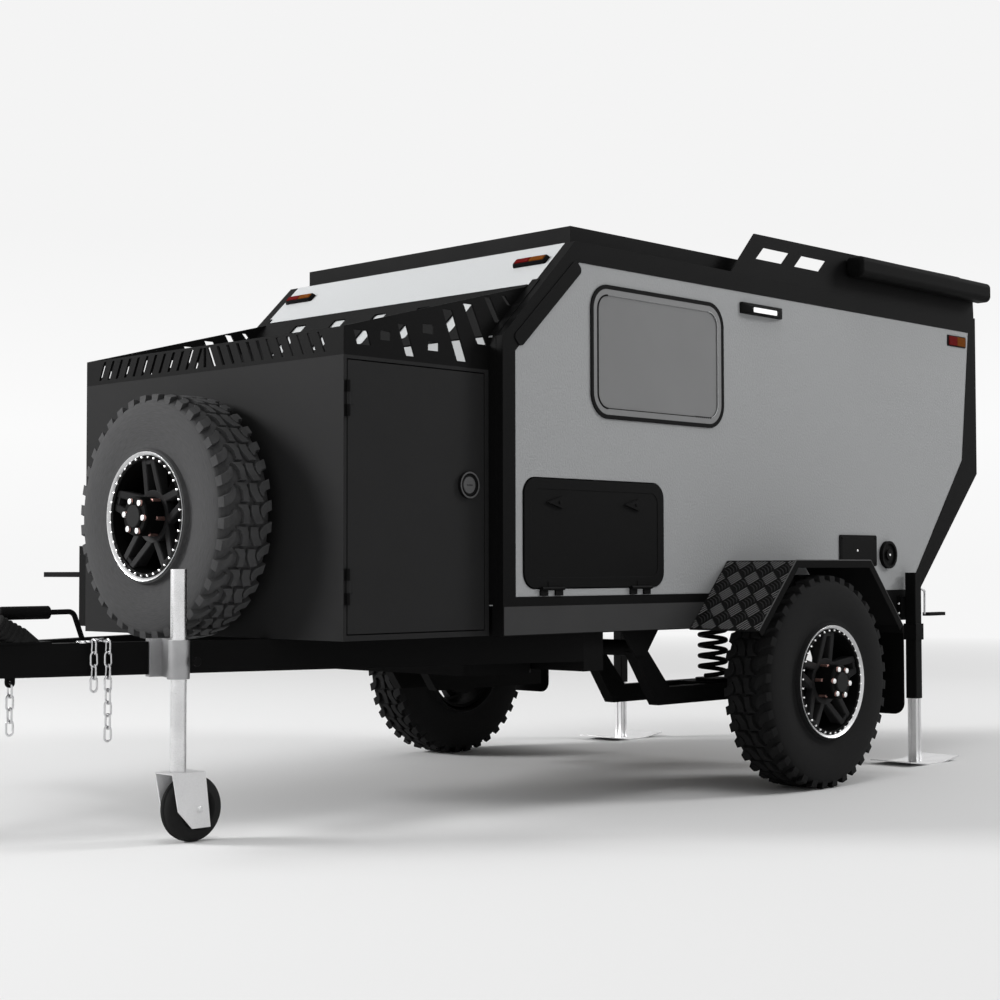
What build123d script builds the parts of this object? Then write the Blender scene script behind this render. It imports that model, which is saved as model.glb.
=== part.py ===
from build123d import *
import os
from math import atan2, cos, degrees, hypot, pi, radians, sin

os.makedirs("parts", exist_ok=True)

# Off-road teardrop trailer, in millimetres. +X points forward to the coupling, +Y left, +Z up.
# The origin is on the ground, under the middle of the overall box.
# Stations along X are measured from the wheel axle, positive ahead of it.

# ---- running gear --------------------------------------------------------------------------------
tyre_radius = 387.5
tyre_width = 205
tread_base_radius = 372
tread_inset = 11
sidewall_crest_radius = 300
bead_radius = 206
bead_inset = 26
cavity_radius = 353
cavity_half = 62
cavity_sides = 18
lug_count = 26
lug_width = 62
lug_height = 30
rim_radius = 190.5
rim_wall = 12
rim_back_inset = 13
bead_ring_radius = 203
bead_ring_standout = 10
bead_ring_depth = 24
wheel_face_y = 1045
spoke_count = 5
spoke_width = 25
spoke_foot = (58, 36)
spoke_tip_half = 21
spoke_tip_depth = 3
spoke_foot_depth = 27
spoke_back_depth = 52
hub_radius = 62
hub_standout = 43
hub_back = 126
hub_end_wall = 22
hub_cap_radius = 38
hub_cap_height = 8
axle_radius = 30
running_clearance = 0.08
seat_clearance = 0.3
drum_radius = 132
drum_depth = 58
drum_wall = 8
drum_gap = 1
stub_end_gap = 2

arm_pivot = (660, 520)
arm_knee = (520, 345)
arm_thickness = 62
arm_width = 44
arm_inner_y = 440
arm_outer_y = 690
axle_beam_back = -60
axle_beam_front = 170
pivot_radius = 28
spring_x = 90
spring_y = 580
spring_radius = 50
spring_wire = 15
spring_turns = 4.5
spring_steps = 16
spring_sides = 8
spring_seat_radius = 66
spring_seat_depth = 12
hanger_thickness = 8

# ---- frame under the cabin -----------------------------------------------------------------------
sill_bottom = 583
cabin_bottom = 680
tube_width = 50
sill_front = 1401
sill_rear = -1080
main_rail_y = 450
crossmember_stations = (1326, 600, 65, -480, -1055)
draw_beam_rear = 860
draw_beam_front = 960
draw_beam_bottom = 451
draw_beam_half = 698
draw_rail_depth = 98
draw_rail_front = 2860
draw_rail_slope = 0.3365
tank_front = 1285
tank_rear = 970
tank_half = 477
tank_bottom = 440
tank_corner = 30

# ---- cabin ---------------------------------------------------------------------------------------
cabin_half = 746
wall_thickness = 46
panel_recess = 2
panel_thickness = 36
cabin_front = 1402
cabin_rear = -1602
cabin_top = 1896
front_kink_z = 1548
slope_top_x = 1050
rear_kink_z = 1210
rear_foot_x = -1090
panel_front = 1343
panel_bottom = 708
panel_top = 1827
panel_slope_low = (1343, 1502)
panel_slope_high = (1030, 1827)
panel_rear_top_x = -1543
panel_rear_kink = (-1478, 1266)
panel_rear_foot_x = -1035
floor_thickness = 26
roof_cap_half = 685
roof_cap_height = 66
roof_cap_front = 1006
roof_cap_rear = -1560
cover_low = (1319, 1514)
cover_high = (1015, 1799)
cover_width = 50
cover_corner = 18
cover_standout = 3

window_rear = 234
window_front = 974
window_bottom = 1308
window_top = 1767
window_corner = 88
window_band = 14
window_sleeve = 8
window_standout = 5
pane_thickness = 5
pane_border = 22
pane_border_standout = 3

bag_door_rear = 590
bag_door_front = 1305
bag_door_bottom = 736
bag_door_top = 1094
bag_door_corner = 52
bag_door_standout = 5
bag_door_border = 34
bag_door_recess = 1.5
bag_hinge_stations = (720, 1175)
bag_latch_stations = (759, 1153)
bag_latch_z = 1017
bag_latch_length = 96
bag_latch_height = 36
bag_latch_standout = 7
round_latch_radius = 42
round_latch_band = 8
round_latch_standout = 7
round_latch_dish = 4

entry_door_rear = 465
entry_door_front = 1055
entry_door_bottom = 738
entry_door_top = 1750
entry_door_corner = 70
entry_hinge_heights = (900, 1250, 1600)
entry_latch = (540, 1200)

door_gap = 4
hatch_bottom = 1244
hatch_top = 1872
hatch_half = 694
hatch_thickness = 40
hatch_hinge_spread = (-450, 0, 450)
hatch_latch_y = 560
hatch_latch_z = 1310

hinge_radius = 6
hinge_pin = 3
hinge_leaf = 2
hinge_leaf_reach = 24
knuckle_length = 36
knuckle_gap = 0.4

# ---- front box -----------------------------------------------------------------------------------
box_front = 2020
box_half = 683
box_bottom = 584
box_top = 1440
box_wall = 20
box_door_rear = 1424
box_door_front = 2004
box_door_bottom = 605
box_door_top = 1425
box_door_corner = 3
box_hinge_heights = (746, 1309)
box_latch = (1499, 1065)
gallery_thickness = 6
gallery_front_top = 1525
gallery_rear_x = 1215
# Cut-outs of the gallery sides: foot ahead of the axle, foot height, head ahead, head height, width.
gallery_cutouts = (
    (1938, 1475, 1953, 1518, 56),
    (1852, 1496, 1852, 1524, 40),
    (1747, 1456, 1783, 1552, 37),
    (1672, 1533, 1672, 1562, 46),
    (1648, 1481, 1648, 1509, 48),
    (1523, 1458, 1588, 1617, 44),
    (1432, 1520, 1497, 1645, 42),
    (1358, 1598, 1408, 1676, 30),
    (1305, 1660, 1333, 1689, 20),
)
front_slot_pitch = 50
front_slot_reach = 12
front_slot_width = 14
front_slot_lean = 31
front_slot_bottom = 1454
front_slot_top = 1517
rack_top_z = 1735
rack_slot_pitch = 221
rack_slot_reach = 2
rack_slot_width = 65
rack_slot_margin = 46
rack_slot_corner = 8
shelf_setback = 30
shelf_length = 130
shelf_case_depth = 87
shelf_case_bottom = 600
shelf_case_top = 882
shelf_leaf_reach = 230
shelf_leaf_z = 772
shelf_leaf_thickness = 18

# ---- spare wheel ---------------------------------------------------------------------------------
spare_face_standout = 239
spare_y = 20
spare_z = 965
carrier_radius = 55
carrier_plate = 220
carrier_plate_thickness = 10
carrier_plate_corner = 20

# ---- arches, legs, jockey wheel ------------------------------------------------------------------
arch_outline = ((445, 582), (217, 826), (-266, 826), (-485, 580))
arch_half = 1050
arch_thickness = 4
arch_lip = 26
flap_thickness = 6
flap_bottom = 240
flap_inner_y = 790
flap_corner = 45
flap_tab = 30

leg_x = -993
leg_y = 789
leg_size = 40
leg_wall = 4
leg_top = 385
leg_housing_wall = 4
leg_housing_bottom = 263
leg_housing_top = 779
leg_bracket_length = 110
leg_bracket_bottom = 596
leg_clamp_bottom = 503
leg_clamp_top = 569
leg_clamp_standout = 5
leg_handle_route = ((-1018, 718), (-1083, 704), (-1081, 606))
leg_handle_bend = 8
leg_handle_wire = 4
leg_handle_pad = (-1156, 606)
leg_handle_pad_length = 150
leg_handle_pad_width = 34
leg_handle_pad_thickness = 14
foot_length = 370
foot_width = 190
foot_thickness = 5
foot_flat = 110
foot_rise = 16

jockey_x = 2390
jockey_y = 374
jockey_tube_radius = 24
jockey_tube_wall = 3
jockey_tube_top = 800
jockey_wheel_radius = 98
jockey_wheel_width = 70
jockey_tread_round = 10
jockey_trail = 47
jockey_pin_radius = 8
fork_top = 207
fork_sheet = 4
fork_gap = 5
fork_front_reach = 50
fork_rear_reach = 67
fork_tip_rear = 86
fork_tip_front = 21
fork_tip_z = 43
fork_knee = (29, 96)
clamp_bottom = 478
clamp_top = 592
clamp_wall = 9
clamp_plate = 92
clamp_plate_thickness = 10
clamp_hook_reach = 30

# ---- coupling ------------------------------------------------------------------------------------
coupling_z = 552
coupling_reach = 3178
ball_radius = 25
ball_clearance = 0.3
ball_socket_depth = 30
ball_x = 3120
head_rear = 2996
head_half = 44
head_rear_half = 33
head_top = 596
head_bottom = 528
shaft_in_head = 40
nose_rear = 2780
nose_front = 2890
nose_half = 72
nose_plate_rear = 2660
nose_plate_thickness = 6
flange_thickness = 14
flange_half = 60
flange_corner = 8
draw_shaft_radius = 25
lever_tube_x = 2441
lever_tube_width = 48
lever_radius = 8
lever_route = ((2465, 560), (2508, 672), (2612, 671))
lever_bend = 24
lever_boss = 17
lever_boss_half = 20
grip_front = 2762
grip_radius = 20
grip_round = 12
gaiter_x = 2738
gaiter_y = 66
gaiter_radius = 44
gaiter_tip_radius = 27
gaiter_tilt = 38
gaiter_length = 96
gaiter_ribs = 6
gaiter_groove = 6
gaiter_crest_share = 0.6
gaiter_groove_share = 0.8

# ---- safety chains --------------------------------------------------------------------------------
link_length = 50
link_width = 28
link_wire = 6.5
link_corner = 8
link_play = 0.3
rail_chain_x = 2535
rail_chain_links = 8
nose_chain_x = 2757
nose_chain_y = 58
nose_chain_links = 4
chain_eye_thickness = 8
chain_eye_radius = 15
chain_eye_bore = 5
chain_eye_drop = 14

# ---- roof and side fittings ----------------------------------------------------------------------
awning_plate_thickness = 6
# Awning plate corners: station, height above the cabin top.
awning_plate_outline = ((181, 0), (35, 160), (-1460, 168), (-1580, 155), (-1590, 0))
awning_window_base = (27, 66)
awning_window_size = (168, 48)
awning_window_lean = 50
awning_window_pitch = 250
awning_case_front = -576
awning_case_rear = -1592
awning_case_rise = 105
awning_case_half = 41
awning_case_corner = 24
awning_case_end_round = 16
flood_lamp_front = 129
flood_lamp_rear = -132
flood_lamp_bottom = 1747
flood_lamp_top = 1789
flood_lamp_standout = 34
marker_rear = -1517
marker_front = -1365
marker_bottom = 1756
marker_top = 1804
marker_standout = 14
front_marker_y = 606
front_marker_width = 150
front_marker_z = 1832
front_marker_height = 36
tail_lamp_bottom = 1330
tail_lamp_top = 1560
tail_lamp_width = 34
tail_lamp_standout = 9
service_plate_rear = -783
service_plate_front = -518
service_plate_bottom = 806
service_plate_top = 930
service_plate_thickness = 6
service_plate_corner = 8
socket_x = -866
socket_z = 852
socket_radius = 56
socket_standout = 16
socket_rim = 10
socket_dish = 8
socket_boss = 22

# ---- derived places ------------------------------------------------------------------------------
hatch_hinge_standout = 2 * hinge_radius
rear_reach = -cabin_rear + hatch_hinge_standout
axle_x = (rear_reach - coupling_reach) / 2
panel_face = cabin_half - panel_recess
spare_face_x = box_front + spare_face_standout
awning_case_z = cabin_top + awning_case_rise
draw_rail_top = sill_bottom
draw_rail_bottom = draw_rail_top - draw_rail_depth
draw_angle = degrees(atan2(draw_rail_slope, 1))
lever_tube_top = lever_route[0][1] - lever_boss


def side_view(y):
    """Plane at Y = y, seen from the left: local x runs ahead of the axle, local y up."""
    return Plane(origin=(axle_x, y, 0), x_dir=(1, 0, 0), z_dir=(0, -1, 0))


def plan_view(z):
    """Level plane at Z = z, with its local x measured ahead of the axle."""
    return Plane(origin=(axle_x, 0, z), x_dir=(1, 0, 0), z_dir=(0, 0, 1))


def front_view(x):
    """Upright plane at x ahead of the axle: local x is Y, local y is Z, facing forward."""
    return Plane(origin=(axle_x + x, 0, 0), x_dir=(0, 1, 0), z_dir=(1, 0, 0))


def block(x, y, z):
    """Adds a box to the open part, from pairs of low and high values along each axis."""
    with BuildSketch(plan_view(z[0])) as base:
        with Locations(((x[0] + x[1]) / 2, (y[0] + y[1]) / 2)):
            Rectangle(x[1] - x[0], y[1] - y[0])
    extrude(base.sketch, amount=z[1] - z[0])


def side_rectangle(x, z, corner):
    """Draws a rectangle with round corners on the open side view."""
    with Locations(((x[0] + x[1]) / 2, (z[0] + z[1]) / 2)):
        RectangleRounded(x[1] - x[0], z[1] - z[0], corner)


def write(piece, name):
    """Labels a finished piece and writes it under its node name."""
    piece.part.label = name
    export_step(piece.part, f"parts/{name}.step")


# ---- chassis: sills, main rails, crossmembers and the A-shaped drawbar ----------------------------
def draw_rail_outer(x):
    """Half width over the drawbar's outer faces at a station."""
    return draw_beam_half - (x - draw_beam_front) * draw_rail_slope


with BuildPart() as chassis:
    for side in (-1, 1):
        sill = sorted((side * cabin_half, side * (cabin_half - tube_width)))
        block((sill_rear, sill_front), sill, (sill_bottom, cabin_bottom))
        rail = sorted((side * main_rail_y, side * (main_rail_y + tube_width)))
        block((sill_rear, sill_front), rail, (sill_bottom, cabin_bottom))
    sill_inner = cabin_half - tube_width
    for station in crossmember_stations:
        block((station, station + tube_width), (-sill_inner, sill_inner), (sill_bottom, cabin_bottom))
    block(
        (draw_beam_rear, draw_beam_front),
        (-draw_beam_half, draw_beam_half),
        (draw_beam_bottom, sill_bottom),
    )
    with BuildSketch(plan_view(draw_rail_bottom)) as draw_rail_plan:
        rail_across = tube_width / cos(radians(draw_angle))
        for side in (-1, 1):
            with BuildLine():
                Polyline(
                    (draw_beam_front, side * draw_rail_outer(draw_beam_front)),
                    (draw_rail_front, side * draw_rail_outer(draw_rail_front)),
                    (draw_rail_front, side * (draw_rail_outer(draw_rail_front) - rail_across)),
                    (draw_beam_front, side * (draw_rail_outer(draw_beam_front) - rail_across)),
                    close=True,
                )
            make_face()
    extrude(amount=draw_rail_depth)
    block((nose_rear, nose_front), (-nose_half, nose_half), (draw_rail_bottom, draw_rail_top))
    chain_eye_z = draw_rail_bottom - chain_eye_drop
    for y in (-nose_chain_y, nose_chain_y):
        with BuildSketch(side_view(y + chain_eye_thickness / 2)):
            with Locations((nose_chain_x, draw_rail_bottom - chain_eye_drop / 2)):
                Rectangle(2 * chain_eye_radius, chain_eye_drop)
            with Locations((nose_chain_x, chain_eye_z)):
                Circle(chain_eye_radius)
                Circle(chain_eye_bore, mode=Mode.SUBTRACT)
        extrude(amount=chain_eye_thickness)
    with BuildSketch(plan_view(draw_rail_top)):
        with BuildLine():
            Polyline(
                (nose_plate_rear, -draw_rail_outer(nose_plate_rear)),
                (nose_front, -nose_half),
                (nose_front, nose_half),
                (nose_plate_rear, draw_rail_outer(nose_plate_rear)),
                close=True,
            )
        make_face()
    extrude(amount=nose_plate_thickness)
    reach = draw_rail_outer(lever_tube_x + lever_tube_width) - tube_width / 2
    block(
        (lever_tube_x, lever_tube_x + lever_tube_width),
        (-reach, reach),
        (draw_rail_bottom, lever_tube_top),
    )
write(chassis, "chassis")

# ---- trailing arms with their stub axles: the same piece on each side -----------------------------
stub_end_y = wheel_face_y + hub_standout - hub_end_wall - stub_end_gap
drum_back_y = wheel_face_y - hub_back - drum_depth
with BuildPart() as trailing_arms:
    arm_bottom = arm_knee[1] - arm_thickness / 2
    for inner in (arm_inner_y, arm_outer_y - arm_width):
        with BuildSketch(side_view(inner + arm_width)):
            with BuildLine():
                Polyline(
                    (arm_pivot[0] + pivot_radius, arm_pivot[1] - pivot_radius / 2),
                    (arm_knee[0] + arm_thickness / 2, arm_bottom),
                    (axle_beam_back, arm_bottom),
                    (axle_beam_back, arm_bottom + arm_thickness),
                    (arm_knee[0] - arm_thickness / 2, arm_bottom + arm_thickness),
                    (arm_pivot[0] - pivot_radius, arm_pivot[1] + pivot_radius / 2),
                    close=True,
                )
            make_face()
        extrude(amount=arm_width)
    with BuildSketch(side_view(arm_outer_y)):
        with Locations(arm_pivot):
            Circle(pivot_radius)
    extrude(amount=arm_outer_y - arm_inner_y)
    block(
        (axle_beam_back, axle_beam_front),
        (arm_inner_y, arm_outer_y),
        (arm_bottom, arm_bottom + arm_thickness),
    )
    with BuildSketch(plan_view(arm_bottom + arm_thickness)):
        with Locations((spring_x, spring_y)):
            Circle(spring_seat_radius)
    extrude(amount=spring_seat_depth)
    with BuildSketch(side_view(arm_outer_y)):
        with BuildLine():
            Polyline(
                (-tube_width, arm_bottom),
                (-tube_width, tyre_radius + tube_width),
                (tube_width, tyre_radius + tube_width),
                (2 * tube_width, arm_bottom),
                close=True,
            )
        make_face()
    extrude(amount=arm_width)
    with BuildSketch(side_view(drum_back_y - drum_wall - drum_gap)):
        with Locations((0, tyre_radius)):
            Circle(drum_radius)
    extrude(amount=drum_wall)
    with BuildSketch(side_view(stub_end_y)):
        with Locations((0, tyre_radius)):
            Circle(axle_radius)
    extrude(amount=stub_end_y - arm_outer_y)
    mirror(about=Plane.XZ)
write(trailing_arms, "trailing_arms")

# ---- pivot hangers and spring perches under the frame ----------------------------------------------
with BuildPart() as arm_hangers:
    for inner in (arm_inner_y - seat_clearance - hanger_thickness, arm_outer_y + seat_clearance):
        with BuildSketch(side_view(inner + hanger_thickness)):
            with BuildLine():
                Polyline(
                    (arm_pivot[0] - 2 * tube_width, sill_bottom),
                    (arm_pivot[0] + 2 * tube_width, sill_bottom),
                    (arm_pivot[0] + pivot_radius, arm_pivot[1] - pivot_radius),
                    (arm_pivot[0] - pivot_radius, arm_pivot[1] - pivot_radius),
                    close=True,
                )
            make_face()
        extrude(amount=hanger_thickness)
    mirror(about=Plane.XZ)
write(arm_hangers, "arm_hangers")

# ---- coil springs between the arms and the frame ---------------------------------------------------
spring_bottom = arm_bottom + arm_thickness + spring_seat_depth
coil_height = sill_bottom - spring_bottom - spring_wire
coil_points = []
for step in range(int(spring_turns * spring_steps) + 1):
    turn = step / spring_steps
    across = axle_x + spring_x + spring_radius * cos(2 * pi * turn)
    aside = spring_y + spring_radius * sin(2 * pi * turn)
    coil_points += [(across, aside, spring_bottom + spring_wire / 2 + coil_height * turn / spring_turns)]
with BuildPart() as coil_springs:
    with BuildLine() as coil:
        Polyline(*coil_points)
    with BuildSketch(Plane(origin=coil.line @ 0, z_dir=coil.line % 0)):
        RegularPolygon(spring_wire / 2, spring_sides)
    sweep(transition=Transition.RIGHT)
    mirror(about=Plane.XZ)
write(coil_springs, "coil_springs")

# ---- water tank between the drawbar's roots --------------------------------------------------------
with BuildPart() as water_tank:
    block((tank_rear, tank_front), (-tank_half, tank_half), (tank_bottom, sill_bottom))
    fillet(water_tank.edges().filter_by(Axis.Z), radius=tank_corner)
write(water_tank, "water_tank")

# ---- cabin floor -----------------------------------------------------------------------------------
inner_half = cabin_half - wall_thickness
with BuildPart() as floor_panel:
    block(
        (rear_foot_x + wall_thickness, cabin_front - wall_thickness),
        (-inner_half, inner_half),
        (cabin_bottom, cabin_bottom + floor_thickness),
    )
write(floor_panel, "floor_panel")

# ---- side frames: black perimeter frames, one on each side -----------------------------------------
cabin_outline = (
    (cabin_front, cabin_bottom),
    (cabin_front, front_kink_z),
    (slope_top_x, cabin_top),
    (cabin_rear, cabin_top),
    (cabin_rear, rear_kink_z),
    (rear_foot_x, cabin_bottom),
)
panel_outline = (
    (panel_front, panel_bottom),
    panel_slope_low,
    panel_slope_high,
    (panel_rear_top_x, panel_top),
    panel_rear_kink,
    (panel_rear_foot_x, panel_bottom),
)
with BuildPart() as side_frames:
    with BuildSketch(side_view(cabin_half)):
        with BuildLine():
            Polyline(*cabin_outline, close=True)
        make_face()
        with BuildLine():
            Polyline(*panel_outline, close=True)
        make_face(mode=Mode.SUBTRACT)
    extrude(amount=wall_thickness)
    cover_run = cover_high[0] - cover_low[0]
    cover_rise = cover_high[1] - cover_low[1]
    cover_length = hypot(cover_run, cover_rise)
    cover_centre = (
        (cover_low[0] + cover_high[0]) / 2 + cover_rise / cover_length * cover_width / 2,
        (cover_low[1] + cover_high[1]) / 2 - cover_run / cover_length * cover_width / 2,
    )
    with BuildSketch(side_view(cabin_half + cover_standout)):
        with Locations(cover_centre):
            RectangleRounded(
                cover_length,
                cover_width,
                cover_corner,
                rotation=degrees(atan2(cover_rise, cover_run)),
            )
    extrude(amount=cover_standout + panel_recess)
    mirror(about=Plane.XZ)
write(side_frames, "side_frames")

# ---- left side panel, with the window and the baggage door cut out ---------------------------------
with BuildPart() as side_panel_left:
    with BuildSketch(side_view(panel_face)):
        with BuildLine():
            Polyline(*panel_outline, close=True)
        make_face()
        with Locations(((window_rear + window_front) / 2, (window_bottom + window_top) / 2)):
            RectangleRounded(
                window_front - window_rear - 2 * window_sleeve,
                window_top - window_bottom - 2 * window_sleeve,
                window_corner - window_sleeve,
                mode=Mode.SUBTRACT,
            )
        with Locations(((bag_door_rear + bag_door_front) / 2, (bag_door_bottom + bag_door_top) / 2)):
            RectangleRounded(
                bag_door_front - bag_door_rear + 2 * door_gap,
                bag_door_top - bag_door_bottom + 2 * door_gap,
                bag_door_corner + door_gap,
                mode=Mode.SUBTRACT,
            )
    extrude(amount=panel_thickness)
write(side_panel_left, "side_panel_left")

# ---- right side panel, with the doorway cut out ----------------------------------------------------
with BuildPart() as side_panel_right:
    with BuildSketch(side_view(-panel_face + panel_thickness)):
        with BuildLine():
            Polyline(*panel_outline, close=True)
        make_face()
        with Locations(((entry_door_rear + entry_door_front) / 2, (entry_door_bottom + entry_door_top) / 2)):
            RectangleRounded(
                entry_door_front - entry_door_rear + 2 * door_gap,
                entry_door_top - entry_door_bottom + 2 * door_gap,
                entry_door_corner + door_gap,
                mode=Mode.SUBTRACT,
            )
    extrude(amount=panel_thickness)
write(side_panel_right, "side_panel_right")

# ---- front panel: upright behind the box, then the pale slope above it -----------------------------
slope_run = cabin_front - slope_top_x
slope_rise = cabin_top - front_kink_z
slope_length = hypot(slope_run, slope_rise)


def slope_z(x):
    """Height of the front slope at a station."""
    return front_kink_z + (cabin_front - x) * slope_rise / slope_run


with BuildPart() as front_panel:
    with BuildSketch(side_view(inner_half)):
        with BuildLine():
            Polyline(
                (cabin_front, cabin_bottom),
                (cabin_front, front_kink_z),
                (slope_top_x, cabin_top),
                (slope_top_x - wall_thickness, cabin_top - wall_thickness / 2),
                (cabin_front - wall_thickness, front_kink_z - wall_thickness / 2),
                (cabin_front - wall_thickness, cabin_bottom),
                close=True,
            )
        make_face()
    extrude(amount=2 * inner_half)
write(front_panel, "front_panel")

# ---- roof: the panel between the side frames and the raised cap on it ------------------------------
with BuildPart() as roof:
    with BuildSketch(side_view(inner_half)):
        with BuildLine():
            Polyline(
                (slope_top_x, cabin_top),
                (cabin_rear + hatch_thickness, cabin_top),
                (cabin_rear + hatch_thickness, cabin_top - wall_thickness),
                (slope_top_x - wall_thickness, cabin_top - wall_thickness),
                (slope_top_x - wall_thickness, cabin_top - wall_thickness / 2),
                close=True,
            )
        make_face()
    extrude(amount=2 * inner_half)
    block(
        (roof_cap_rear, roof_cap_front),
        (-roof_cap_half, roof_cap_half),
        (cabin_top, cabin_top + roof_cap_height),
    )
    block(
        (cabin_rear, cabin_rear + hatch_thickness),
        (-inner_half, inner_half),
        (hatch_top + door_gap, cabin_top),
    )
write(roof, "roof")

# ---- rear slope panel, below the hatch -------------------------------------------------------------
with BuildPart() as rear_slope_panel:
    with BuildSketch(side_view(inner_half)):
        with BuildLine():
            Polyline(
                (rear_foot_x, cabin_bottom),
                (cabin_rear, rear_kink_z),
                (cabin_rear, hatch_bottom - door_gap),
                (cabin_rear + wall_thickness, hatch_bottom - door_gap),
                (cabin_rear + wall_thickness, rear_kink_z + wall_thickness / 3),
                (rear_foot_x + wall_thickness, cabin_bottom),
                close=True,
            )
        make_face()
    extrude(amount=2 * inner_half)
write(rear_slope_panel, "rear_slope_panel")

# ---- side window: gasket frame with its sleeve in the wall, and the pane ---------------------------
window_centre = ((window_rear + window_front) / 2, (window_bottom + window_top) / 2)
window_length = window_front - window_rear
window_height = window_top - window_bottom
with BuildPart() as window_frame:
    with BuildSketch(side_view(panel_face + window_standout)):
        with Locations(window_centre):
            RectangleRounded(window_length, window_height, window_corner)
            RectangleRounded(
                window_length - 2 * window_band,
                window_height - 2 * window_band,
                window_corner - window_band,
                mode=Mode.SUBTRACT,
            )
    extrude(amount=window_standout)
    with BuildSketch(side_view(panel_face)):
        with Locations(window_centre):
            RectangleRounded(
                window_length - 2 * window_sleeve,
                window_height - 2 * window_sleeve,
                window_corner - window_sleeve,
            )
            RectangleRounded(
                window_length - 2 * window_band,
                window_height - 2 * window_band,
                window_corner - window_band,
                mode=Mode.SUBTRACT,
            )
    extrude(amount=panel_thickness)
write(window_frame, "window_frame")

with BuildPart() as window_pane:
    with BuildSketch(side_view(panel_face)):
        with Locations(window_centre):
            RectangleRounded(
                window_length - 2 * window_band,
                window_height - 2 * window_band,
                window_corner - window_band,
            )
    extrude(amount=pane_thickness)
    with BuildSketch(side_view(panel_face + pane_border_standout)):
        with Locations(window_centre):
            RectangleRounded(
                window_length - 2 * window_band,
                window_height - 2 * window_band,
                window_corner - window_band,
            )
            RectangleRounded(
                window_length - 2 * (window_band + pane_border),
                window_height - 2 * (window_band + pane_border),
                window_corner - window_band - pane_border,
                mode=Mode.SUBTRACT,
            )
    extrude(amount=pane_border_standout)
write(window_pane, "window_pane")

# ---- front box: shell open to the rear, with the left doorway --------------------------------------
with BuildPart() as front_box:
    block((cabin_front, box_front), (-box_half, box_half), (box_bottom, box_top))
    with BuildSketch(plan_view(box_bottom + box_wall)):
        with Locations(((cabin_front + box_front - box_wall) / 2, 0)):
            Rectangle(box_front - box_wall - cabin_front, 2 * (box_half - box_wall))
    extrude(amount=box_top - box_bottom - 2 * box_wall, mode=Mode.SUBTRACT)
    with BuildSketch(side_view(box_half)):
        side_rectangle(
            (box_door_rear - door_gap, box_door_front + door_gap),
            (box_door_bottom - door_gap, box_door_top + door_gap),
            box_door_corner,
        )
    extrude(amount=box_wall, mode=Mode.SUBTRACT)
write(front_box, "front_box")

# ---- gallery rail round the top of the box ---------------------------------------------------------
with BuildPart() as gallery_rail:
    for y in (box_half, -box_half + gallery_thickness):
        with BuildSketch(side_view(y)):
            with BuildLine():
                Polyline(
                    (box_front, box_top),
                    (box_front, gallery_front_top),
                    (gallery_rear_x, slope_z(gallery_rear_x)),
                    (cabin_front, front_kink_z),
                    (cabin_front, box_top),
                    close=True,
                )
            make_face()
            for foot_x, foot_z, head_x, head_z, width in gallery_cutouts:
                with BuildLine():
                    Polyline(
                        (foot_x - width / 2, foot_z),
                        (foot_x + width / 2, foot_z),
                        (head_x + width / 2, head_z),
                        (head_x - width / 2, head_z),
                        close=True,
                    )
                make_face(mode=Mode.SUBTRACT)
        extrude(amount=gallery_thickness)
    with BuildSketch(front_view(box_front - gallery_thickness)):
        with Locations((0, (box_top + gallery_front_top) / 2)):
            Rectangle(2 * box_half, gallery_front_top - box_top)
        for number in range(-front_slot_reach, front_slot_reach + 1):
            foot_y = number * front_slot_pitch
            lean = front_slot_lean if number > 0 else -front_slot_lean if number < 0 else 0
            with BuildLine():
                Polyline(
                    (foot_y - front_slot_width / 2, front_slot_bottom),
                    (foot_y + front_slot_width / 2, front_slot_bottom),
                    (foot_y - lean + front_slot_width / 2, front_slot_top),
                    (foot_y - lean - front_slot_width / 2, front_slot_top),
                    close=True,
                )
            make_face(mode=Mode.SUBTRACT)
    extrude(amount=gallery_thickness)
    slope_plane = Plane(
        origin=(axle_x + cabin_front, 0, front_kink_z),
        x_dir=(0, 1, 0),
        z_dir=(slope_rise / slope_length, 0, slope_run / slope_length),
    )
    rack_length = (rack_top_z - front_kink_z) * slope_length / slope_rise
    with BuildSketch(slope_plane):
        with Locations((0, rack_length / 2)):
            Rectangle(2 * box_half, rack_length)
            with GridLocations(rack_slot_pitch, 0, 2 * rack_slot_reach + 1, 1):
                RectangleRounded(
                    rack_slot_width,
                    rack_length - 2 * rack_slot_margin,
                    rack_slot_corner,
                    mode=Mode.SUBTRACT,
                )
    extrude(amount=gallery_thickness)
write(gallery_rail, "gallery_rail")

# ---- far-side case with its fold-out shelf ---------------------------------------------------------
with BuildPart() as side_shelf:
    shelf_front = box_front - shelf_setback
    shelf_rear = shelf_front - shelf_length
    block(
        (shelf_rear, shelf_front),
        (-box_half - shelf_case_depth, -box_half),
        (shelf_case_bottom, shelf_case_top),
    )
    block(
        (shelf_rear, shelf_front),
        (-box_half - shelf_case_depth - shelf_leaf_reach, -box_half - shelf_case_depth),
        (shelf_leaf_z, shelf_leaf_z + shelf_leaf_thickness),
    )
write(side_shelf, "side_shelf")


# ---- wheels: tyre and rim, turned about their axle and placed by the plane of the outer face --------
def wheel_plane(centre, outward):
    """Plane on a wheel's outer face: local z points outward along the axle."""
    return Plane(origin=centre, x_dir=(0, 0, 1), z_dir=outward)


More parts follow.
